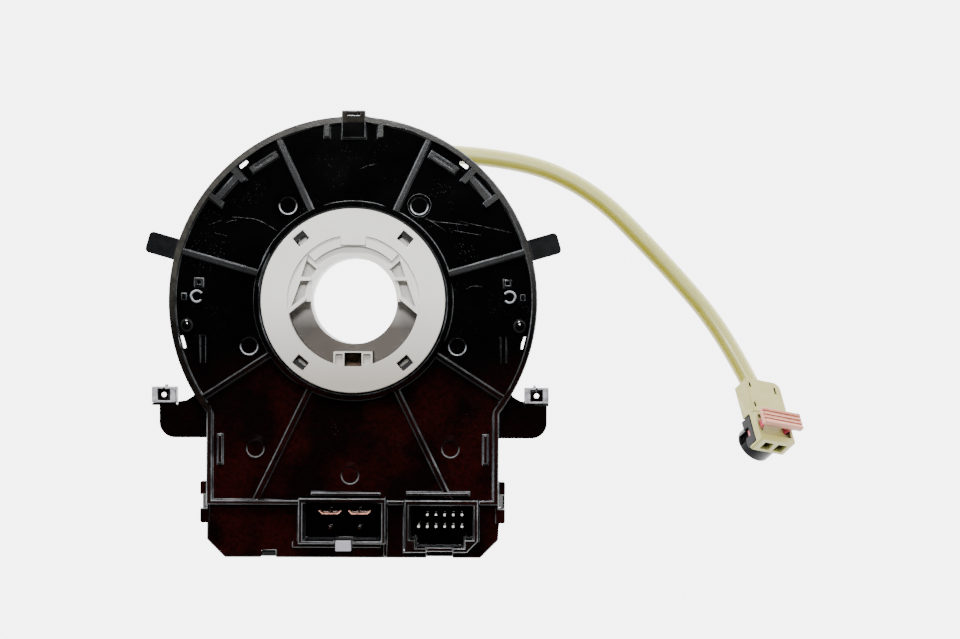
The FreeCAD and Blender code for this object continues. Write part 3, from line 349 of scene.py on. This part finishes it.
def painted_highlight_pbt(colours):
    """The same PBT with a painted highlight: pale on the faces that turn away from the sockets, towards the
    light, and most in the upper half.
    """
    material, tree, shader, points = new_material("black_pbt_painted_highlight", IOR=1.54)
    place = points["Object"]
    at = add_node(tree, "ShaderNodeSeparateXYZ", {"Vector": place}).outputs
    facing = add_node(tree, "ShaderNodeSeparateXYZ", {"Vector": points["Normal"]}).outputs
    side = (facing["Y"], -0.2, 0.25)
    upper = (at["Y"], -44 * MM, 4 * MM, 0.2, 1.0)
    uneven = spots(tree, place, 1.6, 3.0, 0.3, 0.55, 0.4, 1.0)
    pale = mask(tree, side, upper, uneven)
    tree.links.new(layered(tree, colours.cover, (pale, SHADES["painted_highlight"])), shader.inputs["Base Color"])
    varied_roughness(tree, shader, place, 3, 0.12, 0.2)
    return material


def scratched_pbt():
    """Scratched PBT: the broken pale line that a sharp edge leaves on gloss black."""
    material, tree, shader, points = new_material("black_pbt_scratched", IOR=1.5)
    broken = spots(tree, points["Object"], 1.4, 3.0, 0.42, 0.6)
    tone = layered(tree, SHADES["unscratched"], (broken, SHADES["scratched"]))
    tree.links.new(tone, shader.inputs["Base Color"])
    varied_roughness(tree, shader, points["Object"], 1.5, 0.3, 0.6)
    return material


def moulded_matte_nylon(colours):
    """Black PA66, injection moulded in a spark-eroded tool: fine matte grain."""
    material, tree, shader, points = new_material(
        "black_nylon_moulded", IOR=1.53, Specular_IOR_Level=0.2, Base_Color=colours.case)
    varied_roughness(tree, shader, points["Object"], 7, 0.42, 0.56)
    grain_bump(tree, shader, points["Object"], 0.35, 0.03, 0.5)
    return material


def moulded_white_acetal(colours):
    """White POM, injection moulded: satin, with a warm shade where little light reaches down its bore."""
    material, tree, shader, points = new_material("white_acetal_moulded", IOR=1.48)
    place = points["Object"]
    at = add_node(tree, "ShaderNodeSeparateXYZ", {"Vector": place}).outputs
    varied_roughness(tree, shader, place, 14, 0.36, 0.5)
    flow = spots(tree, place, 9, 3.0, 0.3, 0.7)
    # painted shade: darker towards the lower side, away from the light, and warm brown down the bore where
    # little light reaches
    lower = mask(tree, (at["Y"], 2 * MM, -24 * MM))
    depth = (at["Z"], TOP_TAB - 2.6 * MM, TOP_TAB - 10 * MM)
    shaded = (at["Y"], 2 * MM, -8 * MM, 0.15, 1.0)
    tone = layered(tree, colours.hub, (flow, SHADES["hub_flow"]), (lower, SHADES["hub_lower"]),
                   (mask(tree, depth, shaded), colours.hub_depth))
    tree.links.new(tone, shader.inputs["Base Color"])
    grain_bump(tree, shader, place, 0.5, 0.008, 0.2)
    return material


def plain_metal(name, colour, size, rough_low, rough_high):
    """A metal of one colour, whose roughness drifts over spots of a size in millimetres."""
    material, tree, shader, points = new_material(name, Metallic=1.0, Base_Color=colour)
    varied_roughness(tree, shader, points["Object"], size, rough_low, rough_high)
    return material


def spring_steel(colours):
    """Zinc-flaked spring steel, cut and folded: pale grey with darker patches where the coat is thin."""
    material, tree, shader, points = new_material("spring_steel_folded", Metallic=1.0)
    patches = varied_roughness(tree, shader, points["Object"], 1.6, 0.5, 0.62)
    coated = mask(tree, (patches, 0.35, 0.6))
    tone = layered(tree, SHADES["bare_steel"], (coated, colours.steel))
    tree.links.new(tone, shader.inputs["Base Color"])
    return material


def plain_moulding(name, colour, flow_shade, rough_low, rough_high, specular=0.5):
    """An unfilled moulding: satin, with a slight drift in tone, and dark where little light gets in."""
    material, tree, shader, points = new_material(name, IOR=1.5, Specular_IOR_Level=specular)
    place = points["Object"]
    flow = varied_roughness(tree, shader, place, 4, rough_low, rough_high)
    shelter = add_node(tree, "ShaderNodeAmbientOcclusion", {
        "Distance": SHELTER_REACH, "samples": SHELTER_RAYS})
    hidden = mask(tree, (shelter.outputs["AO"], 0.8, 0.45))
    tone = layered(tree, colour, (flow, flow_shade), (hidden, SHADES["unlit"]))
    tree.links.new(tone, shader.inputs["Base Color"])
    grain_bump(tree, shader, place, 0.4, 0.01, 0.3)
    return material


def soft_sleeve(colours):
    """Plasticised PVC sleeve, extruded: waxy, painted pale on its lit side and deeper yellow on its shaded
    side.
    """
    material, tree, shader, points = new_material(
        "pvc_sleeve_extruded", IOR=1.5, Subsurface_Weight=0.08, Subsurface_Scale=1.2 * MM,
        Subsurface_Radius=(1.0, 0.95, 0.6), Coat_Weight=0.2, Coat_Roughness=0.2)
    place = points["Object"]
    varied_roughness(tree, shader, place, 6, 0.3, 0.45)
    towards_shaded_side = add_node(tree, "ShaderNodeVectorMath", {
        "operation": "DOT_PRODUCT", 0: points["Normal"], 1: SHADED_SLEEVE_SIDE}).outputs["Value"]
    bends = add_node(tree, "ShaderNodeTexNoise", {
        "Scale": per_mm(10), "Detail": 2.0, "Vector": place}).outputs["Fac"]
    drift = add_node(tree, "ShaderNodeMath", {
        "operation": "MULTIPLY_ADD", 0: bends, 1: 0.5, 2: towards_shaded_side}).outputs["Value"]
    shaded_side = mask(tree, (drift, 0.0, 0.75))
    tree.links.new(layered(tree, colours.sleeve, (shaded_side, colours.core)), shader.inputs["Base Color"])
    grain_bump(tree, shader, place, 1.2, 0.03, 0.2)
    return material


def pink_lock(colours):
    """Pink PBT, injection moulded: its thin plate looks pale and its legs look deep pink."""
    material, tree, shader, points = new_material("pink_pbt_moulded", IOR=1.5)
    place = points["Object"]
    way = next(joint["axis"] for joint in frame["joints"] if joint["name"] == "lock_slide")
    along = add_node(tree, "ShaderNodeVectorMath", {
        "operation": "DOT_PRODUCT", 0: place, 1: tuple(way)}).outputs["Value"]
    top = min(vert.co.dot(Vector(way)) for vert in frame["nodes"]["plug_lock"].data.vertices)
    legs = mask(tree, (along, top + 2.2 * MM, top + 3.0 * MM))
    streaks = spots(tree, place, 3, 3.0, 0.35, 0.7, 0.0, 0.35)
    tone = layered(tree, colours.lock, (legs, colours.lock_legs), (streaks, SHADES["lock_streaks"]))
    tree.links.new(tone, shader.inputs["Base Color"])
    varied_roughness(tree, shader, place, 4, 0.35, 0.5)
    return material


def laminated_film(colours):
    """Polyester film laminated over flat copper: amber and glossy."""
    material, tree, shader, points = new_material("polyester_film_laminated", IOR=1.6)
    flow = varied_roughness(tree, shader, points["Object"], 3, 0.18, 0.3)
    tone = layered(tree, colours.film, (flow, SHADES["film_flow"]))
    tree.links.new(tone, shader.inputs["Base Color"])
    return material


def coat(obj, *materials):
    """Gives a piece its materials, in the order of its faces' material numbers."""
    if obj.data.materials:
        obj.data.materials.clear()
    for material in materials:
        obj.data.materials.append(material)


# Mesh helpers

def new_piece(name, build, materials, body, smooth_angle=35):
    """Makes an object at the origin from a finished bmesh, and lets it ride on a body."""
    mesh = bpy.data.meshes.new(name)
    build.to_mesh(mesh)
    build.free()
    obj = bpy.data.objects.new(name, mesh)
    bpy.context.scene.collection.objects.link(obj)
    smooth_by_angle(mesh, smooth_angle)
    coat(obj, *materials)
    even = obj.modifiers.new("even_shading", "WEIGHTED_NORMAL")
    even.weight = 100
    even.keep_sharp = True
    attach(obj, body)
    return obj


def smooth_by_angle(mesh, angle):
    """Smooth faces, with edges sharper than an angle in degrees kept crisp, and large level faces flat."""
    mesh.set_sharp_from_angle(angle=math.radians(angle))
    for polygon in mesh.polygons:
        level = abs(polygon.normal.z) > 0.999
        polygon.use_smooth = not (level and polygon.area > LARGE_FACE)


# Level faces larger than this, in square metres, stay flat
LARGE_FACE = 2 * MM * MM

# Corners nearer than this are one, and triangles that meet at less than this angle in degrees are one face
MERGE_DISTANCE = 0.002 * MM
FLAT_ANGLE = 0.6

# Edges sharper than this angle in degrees are rounded
SHARP = 32

# Share of the full width at which edges with less room are rounded
NARROW_SHARE = 0.4

# Share of the room beside an edge that rounding may take
ROOM_SHARE = 0.45

# How far off its plane a corner may stand, and how much more than its face the triangles may cover
WARP = 0.06 * MM
EXTRA_AREA = 0.02 * MM * MM
EXTRA_SHARE = 0.01

# Lengths in millimetres up to which a folded face's edges are left sharp in the next try
HELD_LENGTHS = (1.0, 2.5, 6.0, 1000.0, 1000.0)


def is_sharp(edge):
    """Whether an edge between two faces is sharp enough to be rounded."""
    return len(edge.link_faces) == 2 and edge.calc_face_angle(0) > math.radians(SHARP)


def strip_width(face):
    """Width of a face, as if it were a long strip."""
    return 2 * face.calc_area() / face.calc_perimeter()


def room_beside(edge):
    """What rounding an edge may take: the least width of its faces, or length of what meets it there."""
    ends = set(edge.verts)
    meeting = [other.calc_length() for face in edge.link_faces for other in face.edges
               if other is not edge and ends & set(other.verts)]
    return min(meeting + [strip_width(face) for face in edge.link_faces])


def merged_copy(node):
    """A CAD node's mesh with its loose triangles merged into whole faces."""
    build = bmesh.new()
    build.from_mesh(frame["nodes"][node].data)
    bmesh.ops.remove_doubles(build, verts=build.verts, dist=MERGE_DISTANCE)
    bmesh.ops.dissolve_limit(build, angle_limit=math.radians(FLAT_ANGLE), verts=build.verts,
                             edges=build.edges)
    build.edges.index_update()
    build.edges.ensure_lookup_table()
    build.faces.index_update()
    build.faces.ensure_lookup_table()
    return build


def warped(face):
    """Whether a face has a corner well out of its plane."""
    centre = face.calc_center_median()
    return max(abs((vert.co - centre).dot(face.normal)) for vert in face.verts) > WARP


def folded_faces(build):
    """Faces that fold over themselves or left their plane, because rounding took too much from them."""
    covered = {}
    for loops in build.calc_loop_triangles():
        a, b, c = (loop.vert.co for loop in loops)
        face = loops[0].face
        covered[face] = covered.get(face, 0) + (b - a).cross(c - a).length / 2
    return [face for face, area in covered.items()
            if len(face.verts) > 4
            and (abs(area - face.calc_area()) > EXTRA_AREA + EXTRA_SHARE * area or warped(face))]


def round_edges(build, waiting, width, segments, edge_material):
    """Rounds the waiting edges in two widths, each only where there is room, so none holds back the rest."""
    for offset in (width, NARROW_SHARE * width):
        ready = [edge for edge in build.edges
                 if edge[waiting] and is_sharp(edge) and ROOM_SHARE * room_beside(edge) >= offset]
        for edge in ready:
            edge[waiting] = 0
        made = bmesh.ops.bevel(build, geom=ready, offset=offset, affect="EDGES", segments=segments,
                               profile=0.5, material=-1, clamp_overlap=False, offset_type="OFFSET")
        for face in made["faces"]:
            face.material_index = edge_material


def soften(node, width, materials, body, segments=2):
    """A copy of a CAD node with rounded edges, in place of the node. The last material goes on the edges.

    Where a face comes out folded, the next try leaves its shorter edges sharp, and then longer ones.
    """
    base = merged_copy(node)
    number = base.faces.layers.int.new("number")
    waiting = base.edges.layers.int.new("waiting")
    for face in base.faces:
        face[number] = face.index
    for edge in base.edges:
        edge[waiting] = is_sharp(edge)
    base.faces.ensure_lookup_table()
    for longest_held in HELD_LENGTHS:
        build = base.copy()
        round_edges(build, build.edges.layers.int["waiting"], width, segments, len(materials) - 1)
        folded = {face[build.faces.layers.int["number"]] for face in folded_faces(build)}
        if not folded:
            break
        for index in folded:
            for edge in base.faces[index].edges:
                if edge.calc_length() < longest_held * MM:
                    edge[waiting] = 0
    base.free()
    build.edges.layers.int.remove(build.edges.layers.int["waiting"])
    build.faces.layers.int.remove(build.faces.layers.int["number"])
    piece = new_piece(node + "_moulding", build, materials, body, 40)
    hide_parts(node)
    return piece


def spun_profile(build, centre, profile, steps=48):
    """A closed profile of radius and height pairs, spun about an upright axis."""
    verts = [build.verts.new(centre + Vector((radius, 0, height))) for radius, height in profile]
    edges = [build.edges.new(pair) for pair in zip(verts, verts[1:] + verts[:1])]
    bmesh.ops.spin(build, geom=edges, cent=centre, axis=UP, angle=math.tau, steps=steps,
                   use_merge=True, use_duplicate=False)


def mirrored_places(places):
    """Places and their mirror images on the other side of the cover."""
    return places + [(-x, y) for x, y in places]


# Where the small mouldings stand, in millimetres on the dish
MARK_PLACES = [(-18.9, 27.4), (18.9, 27.4), (-30.0, -13.1), (30.0, -13.1), (-28.1, -42.6), (28.1, -42.6),
               (-0.8, -50.3)]
RINGED_MARK = (18.9, 27.4)
POST_PLACE = (-45.0, 1.1)
STUD_PLACE = (-48.0, -7.2)

# Opening of the slit posts in degrees, and the bevel at their top
POST_OPENING = 70
POST_BEVEL = 0.2 * MM

# Height of the studs above the dish where their domes begin, and a dome's height as a share of its radius
STUD_HEIGHT = 1.7 * MM
DOME_FLATNESS = 0.42

# How far the round marks are let into the dish, and half the thickness of a scratch's burr
SUNK = 0.05 * MM
BURR_RADIUS = 0.06 * MM

# The lead's route in metres: the same points as in the construction
LEAD_ROUTE = [
    (0.0080, 0.0434, 0.0056),
    (0.0330, 0.0444, 0.0039),
    (0.0660, 0.0370, 0.00275),
    (0.0930, 0.0095, 0.0028),
    (0.1090, -0.0095, 0.00275),
    (0.1169, -0.0256, 0.0069),
]

# Scratches that the face has picked up, in millimetres on the dish
SCRATCHES = [
    [(-35.0, 24.0), (-31.0, 23.8), (-28.0, 23.4), (-25.0, 22.0), (-21.9, 20.0)],
    [(-36.9, 22.4), (-35.5, 23.0), (-33.6, 23.2)],
    [(-41.2, 21.8), (-39.6, 22.6), (-38.2, 23.0)],
    [(-40.0, 19.4), (-38.4, 19.0), (-36.6, 18.6)],
    [(20.6, 23.6), (23.2, 22.8), (27.6, 22.6), (33.0, 21.8)],
    [(20.0, 24.4), (22.6, 22.8), (26.4, 20.4)],
    [(28.6, 20.4), (32.0, 19.8), (36.8, 19.0)],
    [(29.8, 23.2), (36.0, 21.8), (45.6, 19.8)],
    [(32.4, 3.4), (34.6, 5.0), (37.4, 4.0)],
    [(1.8, 38.0), (4.2, 39.2), (6.6, 39.4)],
]


class CLOCKSPRING_OT_cover(bpy.types.Operator):
    """Finish the cover and the case"""
    bl_idname = "clockspring.cover"
    bl_label = "Cover and case"

    def execute(self, context):
        sizes = context.scene.clockspring_cover
        colours = context.scene.clockspring_colours
        black = moulded_black_pbt(colours)
        edge_highlight = edge_highlight_pbt(colours)
        painted_highlight = painted_highlight_pbt(colours)
        soften("rear_cover", sizes.edge, [black, edge_highlight], "stator")
        coat(frame["nodes"]["stator_case"], moulded_matte_nylon(colours))
        self.marks(sizes, black, painted_highlight)
        self.posts(sizes, black, painted_highlight)
        self.domes(sizes, black)
        self.scratches(scratched_pbt())
        return {"FINISHED"}

    def marks(self, sizes, black, painted_highlight):
        """Round lips with a gentle slope outside and a steep wall inside, which catches the light."""
        build = bmesh.new()
        radius = sizes.mark_radius
        high = sizes.mark_height
        lip = [(radius + 1.55 * MM, -SUNK), (radius, high), (radius - 0.36 * MM, 0.05 * high),
               (radius - 0.4 * MM, -SUNK)]
        thin_ring = [(radius + 0.85 * MM, 0), (radius + 0.76 * MM, 1.5 * high),
                     (radius + 0.6 * MM, 1.5 * high), (radius + 0.5 * MM, 0)]
        for place in MARK_PLACES:
            centre = Vector((place[0] * MM, place[1] * MM, DISH))
            spun_profile(build, centre, lip)
            if place == RINGED_MARK:
                spun_profile(build, centre, thin_ring)
        bmesh.ops.recalc_face_normals(build, faces=build.faces)
        # the steep wall takes the painted highlight, and the slope stays glossy
        for face in build.faces:
            if face.normal.z < 0.95:
                face.material_index = 1
        new_piece("mould_pin_marks", build, [black, painted_highlight], "stator", 30)

    def posts(self, sizes, black, painted_highlight):
        """Two slit posts by the rim, whose openings face the middle."""
        build = bmesh.new()
        for x, y in mirrored_places([POST_PLACE]):
            centre = Vector((x * MM, y * MM, DISH - 2 * SUNK))
            self.slit_post(build, centre, sizes, 0 if x < 0 else math.pi)
        bmesh.ops.recalc_face_normals(build, faces=build.faces)
        # the tops take the painted highlight
        for face in build.faces:
            if face.normal.z > 0.2:
                face.material_index = 1
        new_piece("slit_posts", build, [black, painted_highlight], "stator", 35)

    def slit_post(self, build, centre, sizes, heading):
        """A C-shaped wall: its section spun most of the way round, with its opening at a heading."""
        outer = sizes.post_radius
        inner = outer - sizes.post_wall
        high = sizes.post_height
        corners = [(inner, 0), (outer, 0), (outer, high - POST_BEVEL), (outer - POST_BEVEL, high),
                   (inner + POST_BEVEL, high), (inner, high - POST_BEVEL)]
        verts = [build.verts.new(centre + Vector((radius, 0, height))) for radius, height in corners]
        face = build.faces.new(verts)
        opening = math.radians(POST_OPENING)
        to_start = Matrix.Rotation(opening / 2 + heading, 4, "Z")
        about_centre = Matrix.Translation(centre) @ to_start @ Matrix.Translation(-centre)
        bmesh.ops.transform(build, matrix=about_centre, verts=verts)
        bmesh.ops.spin(build, geom=[face], cent=centre, axis=UP, angle=math.tau - opening, steps=30,
                       use_merge=False, use_duplicate=False)

    def domes(self, sizes, black):
        """Flat domes on the two studs: the upper halves of squashed balls."""
        build = bmesh.new()
        top = DISH + STUD_HEIGHT
        squash = Matrix.Diagonal((1, 1, DOME_FLATNESS, 1))
        for x, y in mirrored_places([STUD_PLACE]):
            ball = bmesh.ops.create_uvsphere(build, u_segments=32, v_segments=16, radius=sizes.stud_radius)
            bmesh.ops.transform(build, matrix=Matrix.Translation((x * MM, y * MM, top)) @ squash,
                                verts=ball["verts"])
            halved = bmesh.ops.bisect_plane(build, geom=build.verts[:] + build.edges[:] + build.faces[:],
                                            plane_co=(0, 0, top), plane_no=(0, 0, -1), clear_outer=True)
            rims = [part for part in halved["geom_cut"] if isinstance(part, bmesh.types.BMEdge)]
            bmesh.ops.holes_fill(build, edges=rims, sides=0)
        new_piece("stud_domes", build, [black], "stator", 40)

    def scratches(self, material):
        """Thin raised burrs that lie along each scratch."""
        curve = bpy.data.curves.new("face_scratches", "CURVE")
        curve.dimensions = "3D"
        curve.bevel_depth = BURR_RADIUS
        curve.bevel_resolution = 1
        for points in SCRATCHES:
            spline = curve.splines.new("NURBS")
            spline.points.add(len(points) - 1)
            for number, (point, (x, y)) in enumerate(zip(spline.points, points)):
                point.co = (x * MM, y * MM, DISH + 0.01 * MM, 1)
                point.radius = 0.3 if number in (0, len(points) - 1) else 1.0
            spline.order_u = 3
            spline.use_endpoint_u = True
        obj = bpy.data.objects.new("face_scratches", curve)
        bpy.context.scene.collection.objects.link(obj)
        coat(obj, material)
        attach(obj, "stator")


class CLOCKSPRING_OT_sockets(bpy.types.Operator):
    """Finish the two sockets and what stands in them"""
    bl_idname = "clockspring.sockets"
    bl_label = "Sockets"

    def execute(self, context):
        colours = context.scene.clockspring_colours
        sizes = context.scene.clockspring_cover
        black = bpy.data.materials["black_pbt_moulded"]
        edge_highlight = bpy.data.materials["black_pbt_edge_highlight"]
        for node in ("airbag_socket", "switch_socket"):
            soften(node, sizes.edge, [black, edge_highlight], "stator")
        coat(frame["nodes"]["stator_joint_block"], black)
        # phosphor bronze strip, rolled and punched: warm metal with rolling streaks
        copper = plain_metal("phosphor_bronze_rolled", colours.copper, 0.8, 0.2, 0.36)
        for node in ("airbag_contacts", "stator_bus_bars"):
            coat(frame["nodes"][node], copper)
        # copper alloy pins, drawn and left bare, painted dark as the shade deep in the socket
        shade_darkened = plain_metal("copper_alloy_painted_shade", SHADES["shaded_copper"], 0.8, 0.4, 0.5)
        coat(frame["nodes"]["airbag_pins"], shade_darkened)
        # tin-plated copper alloy, drawn and cut: soft grey metal
        tin = plain_metal("tin_plated_alloy", colours.tin, 0.6, 0.38, 0.5)
        soften("switch_pins", 0.16 * MM, [tin], "stator")
        # grey PBT, moulded: satin
        grey = plain_moulding("grey_pbt_moulded", colours.latch, SHADES["latch_flow"], 0.35, 0.5)
        soften("airbag_latch", 0.2 * MM, [grey], "stator")
        steel = spring_steel(colours)
        for node in ("wing_clip_left", "wing_clip_right"):
            soften(node, 0.15 * MM, [steel], "stator")
        return {"FINISHED"}


class CLOCKSPRING_OT_rotor(bpy.types.Operator):
    """Finish the hub, the rotor and the flat cable"""
    bl_idname = "clockspring.rotor"
    bl_label = "Hub and rotor"

    def execute(self, context):
        colours = context.scene.clockspring_colours
        white = moulded_white_acetal(colours)
        soften("hub", 0.25 * MM, [white], "rotor")
        matte = bpy.data.materials["black_nylon_moulded"]
        for node in ("rotor_case", "wheel_socket", "lead_clamp"):
            coat(frame["nodes"][node], matte)
        # brown PBT, moulded: satin, seen only through the hub's key slot
        brown = plain_moulding("brown_pbt_moulded", colours.joint, SHADES["joint_flow"], 0.4, 0.55)
        coat(frame["nodes"]["rotor_joint_block"], brown)
        coat(frame["nodes"]["wheel_terminals"], bpy.data.materials["tin_plated_alloy"])
        coat(frame["nodes"]["flat_cable"], laminated_film(colours))
        return {"FINISHED"}


class CLOCKSPRING_OT_lead(bpy.types.Operator):
    """Make the airbag lead and finish its plug"""
    bl_idname = "clockspring.lead"
    bl_label = "Airbag lead and plug"

    def execute(self, context):
        sizes = context.scene.clockspring_lead
        colours = context.scene.clockspring_colours
        sleeve = soft_sleeve(colours)
        curve = bpy.data.curves.new("airbag_lead_sleeve", "CURVE")
        curve.dimensions = "3D"
        curve.resolution_u = 24
        curve.bevel_depth = sizes.diameter / 2
        curve.bevel_resolution = 8
        curve.use_fill_caps = True
        spline = curve.splines.new("NURBS")
        spline.points.add(len(LEAD_ROUTE) - 1)
        for point, place in zip(spline.points, LEAD_ROUTE):
            point.co = (*place, 1)
        spline.order_u = 3
        spline.use_endpoint_u = True
        lead = bpy.data.objects.new("airbag_lead_sleeve", curve)
        bpy.context.scene.collection.objects.link(lead)
        coat(lead, sleeve)
        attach(lead, "rotor")
        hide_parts("airbag_lead")
        pieces = self.plug(colours)
        return {"FINISHED"}

    def plug(self, colours):
        """Finishes the plug's pieces, and returns them all."""
        # ivory and dark grey PBT, moulded: satin
        ivory = plain_moulding("ivory_pbt_moulded", colours.plug, SHADES["plug_flow"], 0.35, 0.5)
        dark = plain_moulding("dark_grey_pbt_moulded", colours.snout, SHADES["snout_flow"], 0.3, 0.42, 0.12)
        pieces = [
            soften("plug_housing", 0.25 * MM, [ivory], "rotor"),
            soften("plug_lid", 0.2 * MM, [ivory], "rotor"),
            soften("plug_nose", 0.2 * MM, [dark], "rotor"),
            soften("plug_lock", 0.2 * MM, [pink_lock(colours)], "lock"),
        ]
        contacts = frame["nodes"]["plug_contacts"]
        coat(contacts, bpy.data.materials["tin_plated_alloy"])
        return pieces + [contacts]


# Where the softboxes hang and how long they are, in metres
LOW_KEY_PLACE = Vector((-0.12, 0.85, 1.0))
LOW_KEY_SIZE = 0.3
HIGH_KEY_PLACE = Vector((0.0, 0.28, 1.2))
HIGH_KEY_SIZE = 0.2

# Width of a softbox as a share of its length
SOFTBOX_SHARE = 0.6

# Width of the camera's sensor in millimetres
SENSOR_WIDTH = 36


class CLOCKSPRING_OT_studio(bpy.types.Operator):
    """Set up the floor, the light and the camera"""
    bl_idname = "clockspring.studio"
    bl_label = "Studio"

    def execute(self, context):
        sizes = context.scene.clockspring_studio
        self.floor(sizes)
        self.world(context.scene, sizes)
        self.softbox("low_key", sizes.low_key, LOW_KEY_PLACE, LOW_KEY_SIZE)
        self.softbox("high_key", sizes.high_key, HIGH_KEY_PLACE, HIGH_KEY_SIZE)
        self.camera(context.scene, sizes)
        return {"FINISHED"}

    def floor(self, sizes):
        """A light table: an opal sheet lit from below, so it is white and takes no shadow."""
        build = bmesh.new()
        bmesh.ops.create_grid(build, x_segments=1, y_segments=1, size=sizes.floor)
        mesh = bpy.data.meshes.new("floor")
        build.to_mesh(mesh)
        build.free()
        floor = bpy.data.objects.new("floor", mesh)
        bpy.context.scene.collection.objects.link(floor)
        # opal acrylic, cast and lit from below: an even white glow without gloss
        material, tree, shader, points = new_material(
            "opal_acrylic_sheet", Base_Color=SHADES["opal_base"], Roughness=0.9, Specular_IOR_Level=0.0,
            Emission_Strength=sizes.glow)
        clouds = add_node(tree, "ShaderNodeTexNoise", {
            "Scale": per_mm(300), "Detail": 2.0, "Vector": points["Object"]}).outputs["Fac"]
        tone = layered(tree, SHADES["opal_dim"], (clouds, SHADES["opal_bright"]))
        tree.links.new(tone, shader.inputs["Emission Color"])
        coat(floor, material)

    def world(self, scene, sizes):
        """Bright low down, most so beyond the top tab, and dark overhead, so that flat faces stay black."""
        world = bpy.data.worlds.new("studio")
        scene.world = world
        world.use_nodes = True
        tree = world.node_tree
        sky = tree.nodes["Background"].inputs
        sky["Color"].default_value = (1, 1, 1, 1)
        direction = add_node(tree, "ShaderNodeTexCoord", {}).outputs["Generated"]
        way = add_node(tree, "ShaderNodeSeparateXYZ", {"Vector": direction}).outputs
        ring = (way["Z"], 0.6, 0.85, sizes.horizon, 0.01)
        side = (way["Y"], -0.5, 0.5, 0.4, 1.0)
        tree.links.new(mask(tree, ring, side), sky["Strength"])

    def softbox(self, name, power, place, size):
        """A rectangular light that faces the part's middle."""
        light = bpy.data.lights.new(name, "AREA")
        light.energy = power
        light.shape = "RECTANGLE"
        light.size = size
        light.size_y = size * SOFTBOX_SHARE
        obj = bpy.data.objects.new(name, light)
        bpy.context.scene.collection.objects.link(obj)
        obj.location = place
        obj.rotation_euler = (-place).to_track_quat("-Z", "Y").to_euler()

    def camera(self, scene, sizes):
        """A long lens that looks straight down."""
        data = bpy.data.cameras.new("camera")
        data.lens = sizes.focal
        data.sensor_width = SENSOR_WIDTH
        camera = bpy.data.objects.new("camera", data)
        scene.collection.objects.link(camera)
        camera.location = (sizes.camera_x, sizes.camera_y, sizes.camera_height)
        camera.rotation_euler = (0, 0, sizes.camera_roll)
        scene.camera = camera


class CLOCKSPRING_PT_panel(bpy.types.Panel):
    """Lists the steps that dress the clock spring"""
    bl_idname = "CLOCKSPRING_PT_panel"
    bl_label = "Clock spring"
    bl_space_type = "VIEW_3D"
    bl_region_type = "UI"
    bl_category = "Clock spring"

    def draw(self, context):
        for operator in OPERATORS:
            self.layout.operator(operator.bl_idname)


GROUPS = {
    "clockspring_cover": CoverSizes,
    "clockspring_lead": LeadSizes,
    "clockspring_colours": Colours,
    "clockspring_studio": StudioSizes,
}
OPERATORS = [
    CLOCKSPRING_OT_cover,
    CLOCKSPRING_OT_sockets,
    CLOCKSPRING_OT_rotor,
    CLOCKSPRING_OT_lead,
    CLOCKSPRING_OT_studio,
]


def register():
    for name, group in GROUPS.items():
        bpy.utils.register_class(group)
        setattr(bpy.types.Scene, name, bpy.props.PointerProperty(type=group))
    for operator in OPERATORS:
        bpy.utils.register_class(operator)
    bpy.utils.register_class(CLOCKSPRING_PT_panel)


def unregister():
    bpy.utils.unregister_class(CLOCKSPRING_PT_panel)
    for operator in reversed(OPERATORS):
        bpy.utils.unregister_class(operator)
    for name, group in GROUPS.items():
        delattr(bpy.types.Scene, name)
        bpy.utils.unregister_class(group)


def main():
    register()
    bpy.ops.clockspring.cover()
    bpy.ops.clockspring.sockets()
    bpy.ops.clockspring.rotor()
    bpy.ops.clockspring.lead()
    bpy.ops.clockspring.studio()


if __name__ == "__main__":
    main()
